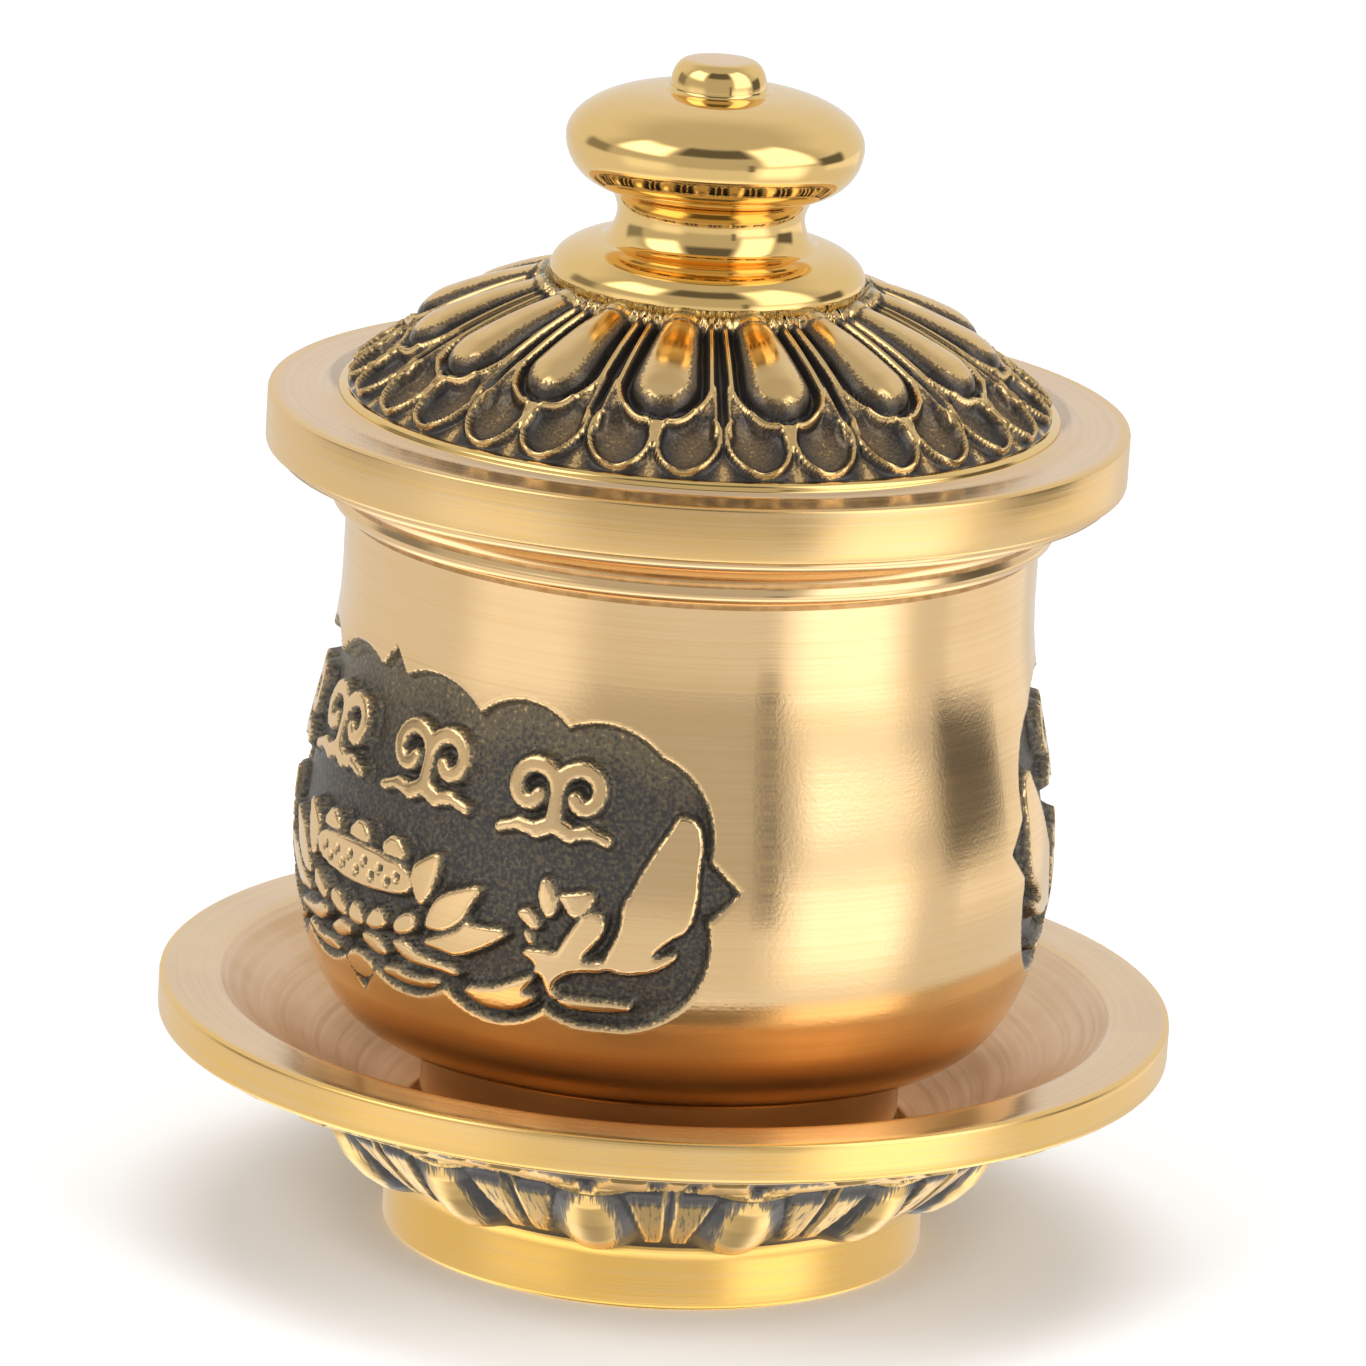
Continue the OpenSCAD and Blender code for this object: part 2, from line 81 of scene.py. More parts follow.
def smooth(value: Grid, low: float, high: float) -> Grid:
    """Eases from 0 at low to 1 at high.

    Args:
        value: Numbers to ease.
        low: Where the result is 0; it may lie above high.
        high: Where the result is 1.

    Returns:
        The eased numbers.
    """
    t = np.clip((value - low) / (high - low), 0.0, 1.0)
    return t * t * (3.0 - 2.0 * t)


def hump(distance: Grid, width: Grid | float) -> Grid:
    """Gives a bell over distance 0, of height 1 there, that falls off with the width."""
    return np.exp(-(distance / width) ** 2)


def disc(x: Grid, y: Grid, mid: Point, radius: float) -> Grid:
    """Distance to a circle, negative inside."""
    return np.hypot(x - mid[0], y - mid[1]) - radius


def capsule(x: Grid, y: Grid, start: Point, end: Point, radius: float) -> Grid:
    """Measures to a stroke with round ends.

    Args:
        x: Sideways places.
        y: Upward places.
        start: One end of the stroke.
        end: Its other end.
        radius: Half its width.

    Returns:
        The distance at each place, negative inside.
    """
    dx, dy = end[0] - start[0], end[1] - start[1]
    t = np.clip(((x - start[0]) * dx + (y - start[1]) * dy) / (dx * dx + dy * dy), 0.0, 1.0)
    return np.hypot(x - start[0] - t * dx, y - start[1] - t * dy) - radius


def polygon(x: Grid, y: Grid, points: Sequence[Point]) -> Grid:
    """Distance to a closed polygon, negative inside.

    Args:
        x: Sideways places.
        y: Upward places.
        points: Corners in order.

    Returns:
        The distance at each place.
    """
    best = np.full(x.shape, np.inf)
    inside = np.zeros(x.shape, bool)
    for (ax, ay), (bx, by) in zip(points, [*points[1:], points[0]]):
        ex, ey = bx - ax, by - ay
        t = np.clip(((x - ax) * ex + (y - ay) * ey) / (ex * ex + ey * ey), 0.0, 1.0)
        best = np.minimum(best, np.hypot(x - ax - t * ex, y - ay - t * ey))
        crosses = (ay > y) != (by > y)
        run = np.where(crosses, (y - ay) / (ey if ey else 1.0), 0.0)
        inside ^= crosses & (x < ax + run * ex)
    return np.where(inside, -best, best)


def rounded(points: Sequence[Point], passes: int = 1) -> list[Point]:
    """Cuts the corners of a closed polygon until they look round.

    Args:
        points: Corners in order.
        passes: How often each corner is cut.

    Returns:
        The corners of the rounder polygon.
    """
    for _ in range(passes):
        ahead = [*points[1:], points[0]]
        points = [((1 - t) * ax + t * bx, (1 - t) * ay + t * by)
                  for (ax, ay), (bx, by) in zip(points, ahead) for t in CUTS]
    return list(points)


def stroke(x: Grid, y: Grid, points: Sequence[Point], start: float, end: float) -> Grid:
    """Distance to a drawn line whose half width changes evenly from its start to its end, negative inside."""
    steps = len(points) - 1
    return np.minimum.reduce([capsule(x, y, a, b, start + (end - start) * i / steps)
                              for i, (a, b) in enumerate(zip(points[:-1], points[1:]))])


@dataclass
class Outline:
    """A turned outline, point by point, with the zone of the stretch that leads to each point."""

    rows: list[Point] = field(default_factory=list)
    zones: list[Zone] = field(default_factory=list)

    def line(self, r: float, z: float, zone: Zone = Zone.PLAIN, steps: int = 1) -> "Outline":
        """Goes straight to a point, or starts there.

        Args:
            r: Radius of the point.
            z: Height of the point.
            zone: Zone of the stretch.
            steps: Number of points after the last one.

        Returns:
            The outline itself.
        """
        if not self.rows:
            self.rows.append((r, z))
            self.zones.append(zone)
            return self
        r0, z0 = self.rows[-1]
        for i in range(1, steps + 1):
            self.rows.append((r0 + (r - r0) * i / steps, z0 + (z - z0) * i / steps))
            self.zones.append(zone)
        return self

    def arc(self, mid: Point, size: Point, start: float, end: float, zone: Zone = Zone.PLAIN,
            steps: int = 6) -> "Outline":
        """Goes along part of an ellipse.

        Args:
            mid: Middle of the ellipse.
            size: Its half axes along r and z.
            start: First angle in degrees, 0 pointing outwards and 90 up.
            end: Last angle in degrees.
            zone: Zone of the stretch.
            steps: Number of points after the first.

        Returns:
            The outline itself.
        """
        for i in range(steps + 1):
            a = math.radians(start + (end - start) * i / steps)
            point = (mid[0] + size[0] * math.cos(a), mid[1] + size[1] * math.sin(a))
            if self.rows and math.dist(point, self.rows[-1]) < SEAM:
                continue
            self.rows.append(point)
            self.zones.append(zone)
        return self

    def curve(self, mid: Point, end: Point, zone: Zone = Zone.PLAIN, steps: int = 6) -> "Outline":
        """Adds a quadratic curve from the last point.

        Args:
            mid: Control point that the curve is drawn towards.
            end: Last point of the curve.
            zone: Zone of the stretch.
            steps: Number of points after the first.

        Returns:
            The outline itself.
        """
        start = self.rows[-1]
        for i in range(1, steps + 1):
            t = i / steps
            spot = [(1 - t) ** 2 * a + 2 * t * (1 - t) * b + t * t * c for a, b, c in zip(start, mid, end)]
            self.line(spot[0], spot[1], zone)
        return self

    def corner(self, r: float, z: float, toward: Point, radius: float, zone: Zone = Zone.PLAIN,
               steps: int = 3) -> "Outline":
        """Goes to a corner and turns it with a small round.

        Args:
            r: Radius of the corner.
            z: Height of the corner.
            toward: The point after it.
            radius: How far from the corner the round starts and ends.
            zone: Zone of the round.
            steps: Number of points after the round's first.

        Returns:
            The outline itself.
        """
        tip = np.array([r, z])
        back, ahead = (np.array(point) - tip for point in (self.rows[-1], toward))
        start, end = (tip + way / math.hypot(*way) * radius for way in (back, ahead))
        self.line(float(start[0]), float(start[1]), zone)
        return self.curve((r, z), (float(end[0]), float(end[1])), zone, steps)


@dataclass
class Sector:
    """One sector of a turned body, with relief on part of its outline."""

    outline: Outline
    azimuths: Grid
    closed: bool = False

    def __post_init__(self) -> None:
        """Lays out the rows, their normals and the flat places of the grid."""
        rows = np.array(self.outline.rows)
        step = np.gradient(rows, axis=0)
        step /= np.maximum(np.linalg.norm(step, axis=1, keepdims=True), SEAM)
        ahead = np.roll(rows, -1, axis=0)
        self.way = math.copysign(1.0, np.sum(rows[:, 0] * ahead[:, 1] - ahead[:, 0] * rows[:, 1]))
        self.rows = rows
        self.normals = self.way * np.stack([step[:, 1], -step[:, 0]], axis=1)
        self.height = np.zeros((len(rows), len(self.azimuths)))
        self.gild = np.ones_like(self.height)

    def where(self, *zones: Zone) -> Grid:
        """Tells which rows lie in any of the zones."""
        return np.array([zone in zones for zone in self.outline.zones])

    def mesh(self, name: str) -> bpy.types.Mesh:
        """Makes the sector's mesh, with its zone on the faces and its gilding on the points.

        Args:
            name: Name of the mesh.

        Returns:
            The mesh, in metres.
        """
        n, m = self.height.shape
        r = self.rows[:, 0:1] + self.normals[:, 0:1] * self.height
        z = self.rows[:, 1:2] + self.normals[:, 1:2] * self.height
        a = np.radians(self.azimuths)[None, :]
        points = np.stack([r * np.sin(a), -r * np.cos(a), np.broadcast_to(z, r.shape)], axis=2)
        first = np.arange(n if self.closed else n - 1)
        i, j = np.meshgrid(first, np.arange(m - 1), indexing="ij")
        k = (i + 1) % n
        quads = np.stack([i * m + j, i * m + j + 1, k * m + j + 1, k * m + j], axis=2).reshape(-1, 4)
        quads = quads if self.way > 0.0 else quads[:, ::-1]
        mesh = bpy.data.meshes.new(name)
        mesh.from_pydata((points.reshape(-1, 3) * MM).tolist(), [], quads.tolist())
        mesh.polygons.foreach_set("use_smooth", np.ones(len(quads), bool))
        ids = np.array([zone.value for zone in self.outline.zones])
        zone = mesh.attributes.new("zone", "INT", "FACE")
        zone.data.foreach_set("value", ids[k].reshape(-1).astype(np.int32))
        gild = mesh.attributes.new("gild", "FLOAT", "POINT")
        gild.data.foreach_set("value", self.gild.reshape(-1).astype(np.float32))
        return mesh


def petal_turns(middle: float, petals: int, columns: int) -> Grid:
    """Gives the azimuths of the columns of one petal's sector."""
    half = 180.0 / petals
    return np.linspace(middle - half, middle + half, columns + 1)


class Board:
    """Sets out the nodes of one node tree."""

    def __init__(self, tree: bpy.types.NodeTree) -> None:
        """Takes up the tree."""
        self.nodes = tree.nodes
        self.links = tree.links

    def put(self, socket: Any, value: Any) -> None:
        """Links a socket to a socket, or sets its value.

        Args:
            socket: Input to fill.
            value: An output socket, a colour or a plain value.
        """
        if isinstance(value, bpy.types.NodeSocket):
            self.links.new(value, socket)
        elif isinstance(value, tuple) and socket.type == "RGBA":
            socket.default_value = (*value, 1.0)
        else:
            socket.default_value = value

    def node(self, kind: str, settings: Mapping[str, Any] | None = None, **inputs: Any) -> Any:
        """Adds a node.

        Args:
            kind: Type of the node.
            settings: Its settings by name.
            **inputs: Values or sockets for its inputs, with _ for a space in a name.

        Returns:
            The node.
        """
        made = self.nodes.new(kind)
        for key, value in (settings or {}).items():
            setattr(made, key, value)
        for key, value in inputs.items():
            self.put(made.inputs[key.replace("_", " ")], value)
        return made

    def math(self, operation: str, *values: Any) -> Any:
        """Adds a Math node.

        Args:
            operation: What it works out.
            *values: Numbers or sockets for its inputs.

        Returns:
            The socket of its result.
        """
        made = self.node("ShaderNodeMath", {"operation": operation})
        for socket, value in zip(made.inputs, values):
            self.put(socket, value)
        return made.outputs[0]

    def blend(self, factor: Any, one: Any, two: Any) -> Any:
        """Gives the first number where the factor is 0 and the second where it is 1."""
        rest = self.math("MULTIPLY", self.math("SUBTRACT", 1.0, factor), one)
        return self.math("ADD", rest, self.math("MULTIPLY", factor, two))

    def ramp(self, value: Any, low: float, high: float, start: float = 0.0, end: float = 1.0) -> Any:
        """Eases a value from one range to another and gives the result."""
        made = self.node("ShaderNodeMapRange", {"interpolation_type": "SMOOTHSTEP"}, Value=value,
                         From_Min=low, From_Max=high, To_Min=start, To_Max=end)
        return made.outputs["Result"]

    def mix(self, factor: Any, one: Any, two: Any) -> Any:
        """Mixes two colours.

        Args:
            factor: 0 for the first colour, 1 for the second.
            one: First colour.
            two: Second colour.

        Returns:
            The socket of the result.
        """
        made = self.node("ShaderNodeMix", {"data_type": "RGBA"})
        self.put(made.inputs[0], factor)
        self.put(made.inputs[COLOUR_A], one)
        self.put(made.inputs[COLOUR_B], two)
        return made.outputs[COLOUR_OUT]


def repeat_tree(name: str, finishes: Mapping[Zone, bpy.types.Material]) -> tuple[Any, str, str]:
    """Builds the node tree that sets a sector round the axis, joins the seams and dresses the zones.

    Args:
        name: Name of the tree.
        finishes: Material of each zone.

    Returns:
        The tree and the identifiers of its Count and Seam inputs.
    """
    tree = bpy.data.node_groups.new(name, "GeometryNodeTree")
    face = tree.interface
    face.new_socket("Sector", in_out="INPUT", socket_type="NodeSocketGeometry")
    count = face.new_socket("Count", in_out="INPUT", socket_type="NodeSocketInt")
    seam = face.new_socket("Seam", in_out="INPUT", socket_type="NodeSocketFloat")
    face.new_socket("Body", in_out="OUTPUT", socket_type="NodeSocketGeometry")
    board = Board(tree)
    entry = board.node("NodeGroupInput").outputs
    points = board.node("GeometryNodePoints", Count=entry["Count"]).outputs[0]
    index = board.node("GeometryNodeInputIndex").outputs[0]
    turn = board.math("MULTIPLY", index, board.math("DIVIDE", math.tau, entry["Count"]))
    spin = board.node("ShaderNodeCombineXYZ", Z=turn).outputs[0]
    place = board.node("GeometryNodeInstanceOnPoints", Points=points, Instance=entry["Sector"], Rotation=spin)
    real = board.node("GeometryNodeRealizeInstances", Geometry=place.outputs[0])
    weld = board.node("GeometryNodeMergeByDistance", Geometry=real.outputs[0], Distance=entry["Seam"])
    last = weld.outputs[0]
    zone = board.node("GeometryNodeInputNamedAttribute", {"data_type": "INT"}, Name="zone")
    for key, material in finishes.items():
        same = board.node("FunctionNodeCompare", {"data_type": "INT", "operation": "EQUAL"})
        board.put(same.inputs[WHOLE_A], zone.outputs["Attribute"])
        board.put(same.inputs[WHOLE_B], key.value)
        dress = board.node("GeometryNodeSetMaterial", Geometry=last, Material=material,
                           Selection=same.outputs[0])
        last = dress.outputs[0]
    board.node("NodeGroupOutput", Body=last)
    return tree, count.identifier, seam.identifier


def set_round(name: str, sector: Sector, count: int,
              finishes: Mapping[Zone, bpy.types.Material]) -> bpy.types.Object:
    """Repeats a sector round the axis and leaves one plain, closed mesh.

    Args:
        name: Name of the piece.
        sector: The sector to repeat.
        count: How many make a full turn.
        finishes: Material of each zone.

    Returns:
        The finished piece at the origin.
    """
    piece = bpy.data.objects.new(name, sector.mesh(name))
    bpy.context.scene.collection.objects.link(piece)
    tree, count_id, seam_id = repeat_tree(f"{name}_round", finishes)
    modifier = piece.modifiers.new("round", "NODES")
    modifier.node_group = tree
    modifier[count_id] = count
    modifier[seam_id] = SEAM
    bpy.context.view_layer.update()
    graph = bpy.context.evaluated_depsgraph_get()
    mesh = bpy.data.meshes.new_from_object(piece.evaluated_get(graph))
    piece.modifiers.clear()
    piece.data = mesh
    LOG.info("%s: %d faces", name, len(mesh.polygons))
    return piece


class Desk(Board):
    """Sets out the nodes of one material."""

    def __init__(self, name: str) -> None:
        """Starts a material with a principled shader.

        Args:
            name: Name of the material.
        """
        self.material = bpy.data.materials.new(name)
        self.material.use_nodes = True
        super().__init__(self.material.node_tree)
        self.shader = self.nodes["Principled BSDF"]

    def places(self) -> Any:
        """Gives the object's own coordinates."""
        return self.node("ShaderNodeTexCoord").outputs["Object"]

    def noise(self, scale: float, detail: float = 2.0, vector: Any = None) -> Any:
        """Gives a noise in the object's coordinates, scale in waves to the metre."""
        places = self.places() if vector is None else vector
        return self.node("ShaderNodeTexNoise", Scale=scale, Detail=detail, Vector=places).outputs["Fac"]

    def turned(self, around: float, along: float, by_angle: bool = False) -> Any:
        """Gives places that change at one rate round the axis and at another along the outline.

        Args:
            around: Rate round the axis, to the metre, or to the radian for streaks down the outline.
            along: Rate along the outline, to the metre.
            by_angle: Whether the rate round the axis is to the radian.

        Returns:
            The coordinates for a noise of scale 1.
        """
        x, y, z = self.node("ShaderNodeSeparateXYZ", Vector=self.places()).outputs
        radius = self.math("SQRT", self.math("ADD", self.math("MULTIPLY", x, x), self.math("MULTIPLY", y, y)))
        if by_angle:
            x, y = (self.math("DIVIDE", value, radius) for value in (x, y))
        made = self.node(
            "ShaderNodeCombineXYZ",
            X=self.math("MULTIPLY", x, around),
            Y=self.math("MULTIPLY", y, around),
            Z=self.math("MULTIPLY", self.math("ADD", radius, z), along),
        )
        return made.outputs[0]

    def bump(self, height: Any, strength: float, distance: float, normal: Any = None) -> Any:
        """Bumps a normal.

        Args:
            height: Socket of the heights.
            strength: Strength, 0 to 1.
            distance: Height of the bumps in metres.
            normal: Normal to bump, or None for the surface's own.

        Returns:
            The socket of the normal.
        """
        made = self.node("ShaderNodeBump", Strength=strength, Distance=distance, Height=height)
        if normal is not None:
            self.put(made.inputs["Normal"], normal)
        return made.outputs[0]

    def dress(self, **inputs: Any) -> bpy.types.Material:
        """Fills the shader's inputs.

        Args:
            **inputs: Values or sockets, with _ for a space in a name.

        Returns:
            The material.
        """
        for key, value in inputs.items():
            self.put(self.shader.inputs[key.replace("_", " ")], value)
        return self.material


# numbers that all finishes share: ranges of a noise, rates to the metre and heights in metres
NOISE_RANGE = (0.3, 0.7)
TINT_RANGE = (0.38, 0.66)
GRAIN_RANGE = (0.4, 0.6)
RUBBED_RANGE = (0.42, 0.58)
TARNISH_RANGE = (0.1, 0.44)
PATINA_METAL = 0.7
RUBBED_GRAIN = 0.92
LINE_DRIFT = 25.0
STREAK_BREAKS = 420.0
LINE_HEIGHT = 0.00004
PATINA_HEIGHT = 0.00012
GRAIN_HEIGHT = 0.00008
LINE_DETAIL = 3.0
GRAIN_DETAIL = 4.0


@dataclass(frozen=True)
class TurnedBrass:
    """Brass straight from the lathe or the buff, with tool lines round the axis.

    Attributes:
        name: Name of the material.
        colour: Colour of the clean metal.
        tint: Colour of the cloudy patches.
        smoothness: Lowest and highest roughness.
        lines: Tool lines to the metre.
        depth: Strength of the lines, 0 to 1.
        cloud: Cloudy patches to the metre.
    """

    name: str
    colour: Colour
    tint: Colour
    smoothness: Point
    lines: float = 2600.0
    depth: float = 0.25
    cloud: float = 90.0

    def layers(self, desk: Desk) -> tuple[Any, Any, Any]:
        """Sets out the layers of the metal.

        Args:
            desk: Desk of the material.

        Returns:
            The colour, the roughness and the height of the tool lines.
        """
        fine = desk.noise(1.0, LINE_DETAIL, desk.turned(LINE_DRIFT, self.lines))
        cloud = desk.noise(self.cloud, LINE_DETAIL)
        both = desk.blend(0.5, fine, cloud)
        colour = desk.mix(desk.ramp(both, *TINT_RANGE), self.colour, self.tint)
        return colour, desk.ramp(both, *NOISE_RANGE, *self.smoothness), fine

    def material(self) -> bpy.types.Material:
        """Makes the material.

        Returns:
            The material.
        """
        desk = Desk(self.name)
        colour, roughness, fine = self.layers(desk)
        return desk.dress(Base_Color=colour, Metallic=1.0, Roughness=roughness,
                          Normal=desk.bump(fine, self.depth, LINE_HEIGHT))


@dataclass(frozen=True)
class PatinatedBrass:
    """Cast brass with a dark patina, rubbed bright where the gilding of the points is high.

    Attributes:
        name: Name of the material.
        metal: Finish of the rubbed metal.
        patina: Colour of the dark ground.
        tarnish: Colour of the half-rubbed ground.
        dull: Roughness of the dark ground.
        ragged: How far the grain moves the edge of the rubbed patches, 0 to 1.
        grain: Grains to the metre.
        depth: Strength of the grain in the dark ground.
        streaks: Streaks to the radian along the outline; with 0 the grain is even.
    """

    name: str
    metal: TurnedBrass
    patina: Colour
    tarnish: Colour
    dull: float = 0.45
    ragged: float = 0.35
    grain: float = 2200.0
    depth: float = 0.3
    streaks: float = 0.0

    def material(self) -> bpy.types.Material:
        """Makes the material.

        Returns:
            The material.
        """
        desk = Desk(self.name)
        gild = desk.node("ShaderNodeAttribute", {"attribute_name": "gild"}).outputs["Fac"]
        grain = desk.noise(self.grain, GRAIN_DETAIL)
        rub = grain
        if self.streaks:
            rub = desk.noise(1.0, LINE_DETAIL, desk.turned(self.streaks, STREAK_BREAKS, by_angle=True))
        edge = desk.math("MULTIPLY", desk.math("SUBTRACT", rub, 0.5), 2.0 * self.ragged)
        level = desk.math("ADD", gild, edge)
        rubbed = desk.ramp(level, *RUBBED_RANGE)
        colour, roughness, fine = self.metal.layers(desk)
        ground = desk.mix(desk.ramp(level, *TARNISH_RANGE), self.patina, self.tarnish)
        dark = desk.math("SUBTRACT", 1.0, desk.math("MULTIPLY", rubbed, RUBBED_GRAIN))
        lines = desk.bump(fine, self.metal.depth, LINE_HEIGHT)
        return desk.dress(
            Base_Color=desk.mix(rubbed, ground, colour),
            Metallic=desk.ramp(rubbed, 0.0, 1.0, PATINA_METAL, 1.0),
            Roughness=desk.blend(rubbed, self.dull, roughness),
            Normal=desk.bump(desk.math("MULTIPLY", grain, dark), self.depth, PATINA_HEIGHT, lines),
        )


@dataclass(frozen=True)
class PlainMetal:
    """A metal with a fine even grain.

    Attributes:
        name: Name of the material.
        colour: Colour of the metal.
        tint: Colour of the darker grains.
        smoothness: Lowest and highest roughness.
        grain: Grains to the metre.
        depth: Strength of the grain.
    """

    name: str
    colour: Colour
    tint: Colour
    smoothness: Point
    grain: float = 900.0
    depth: float = 0.15

    def material(self) -> bpy.types.Material:
        """Makes the material.

        Returns:
            The material.
        """
        desk = Desk(self.name)
        grain = desk.noise(self.grain, GRAIN_DETAIL)
        return desk.dress(
            Base_Color=desk.mix(desk.ramp(grain, *GRAIN_RANGE), self.tint, self.colour),
            Metallic=1.0,
            Roughness=desk.ramp(grain, *NOISE_RANGE, *self.smoothness),
            Normal=desk.bump(grain, self.depth, GRAIN_HEIGHT),
        )


LID_BAND = TurnedBrass("lid_band", (0.92, 0.60, 0.24), (0.90, 0.64, 0.33), (0.2, 0.32), 4200.0, 0.3)
RIM_BAND = TurnedBrass("saucer_band", (0.98, 0.62, 0.20), (0.95, 0.65, 0.29), (0.2, 0.32), 4200.0, 0.3)
FOOT_BAND = TurnedBrass("foot_band", (0.93, 0.56, 0.14), (0.90, 0.57, 0.19), (0.2, 0.32), 4200.0, 0.3)
FACES = TurnedBrass("satin_faces", (0.88, 0.63, 0.37), (0.85, 0.61, 0.38), (0.18, 0.3), 2800.0, 0.2)
BODY = TurnedBrass("polished_body", (0.92, 0.64, 0.34), (0.89, 0.60, 0.29), (0.1, 0.2), 5200.0, 0.1)
DISH = TurnedBrass("turned_dish", (0.88, 0.64, 0.42), (0.82, 0.58, 0.34), (0.34, 0.48), 1500.0, 0.5)
MIRROR = TurnedBrass("mirror_knob", (0.92, 0.63, 0.25), (0.90, 0.61, 0.23), (0.04, 0.1), 2600.0, 0.04)
PETALS = TurnedBrass("rubbed_petals", (0.88, 0.61, 0.28), (0.80, 0.53, 0.22), (0.08, 0.17), 900.0, 0.1, 400.0)
BULBS = TurnedBrass("rubbed_bulbs", (0.90, 0.60, 0.22), (0.84, 0.56, 0.22), (0.26, 0.4), 1800.0, 0.3, 500.0)
CHIPS = TurnedBrass("chipped_metal", (0.66, 0.60, 0.46), (0.56, 0.50, 0.36), (0.2, 0.35), 900.0, 0.1, 600.0)
DOME = PatinatedBrass("lotus_dome", PETALS, (0.05, 0.044, 0.04), (0.17, 0.115, 0.06),
                      0.26, 0.32, 4600.0, 0.22)
PANEL = PatinatedBrass("panel_relief", BODY, (0.06, 0.056, 0.054), (0.19, 0.15, 0.09),
                       0.4, 0.36, 3400.0, 0.75)
LOTUS = PatinatedBrass("lotus_base", BULBS, (0.10, 0.095, 0.092), (0.27, 0.21, 0.13),
                       0.36, 0.6, 2600.0, 0.06, 150.0)
SEAT = PatinatedBrass("chipped_seat", CHIPS, (0.07, 0.06, 0.045), (0.25, 0.21, 0.14),
                      0.35, 1.0, 1700.0, 0.6, 60.0)
STEEL = PlainMetal("plain_steel", (0.62, 0.62, 0.63), (0.5, 0.5, 0.51), (0.3, 0.42))
# brown metal of the thin lines in the cup neck's groove and step: painted shade in those creases
PAINTED_SHADE_LINE = PlainMetal("painted_shade_line", (0.62, 0.36, 0.15), (0.5, 0.27, 0.1), (0.25, 0.4))


# a bulb's half width and height at lengths up the bowl, and the width of the lobes beside it
BULB_WIDTHS = ((0.0, 1.5, 3.5, 6.0, 8.0, 9.5), (2.0, 2.8, 3.2, 3.1, 2.6, 1.4))
BULB_CRESTS = ((0.0, 1.0, 2.2, 4.0, 6.0, 8.0, 9.4), (0.0, 0.8, 1.25, 1.45, 1.35, 0.85, 0.0))
LOBE_WIDTHS = ((3.0, 8.5), (1.5, 3.0))


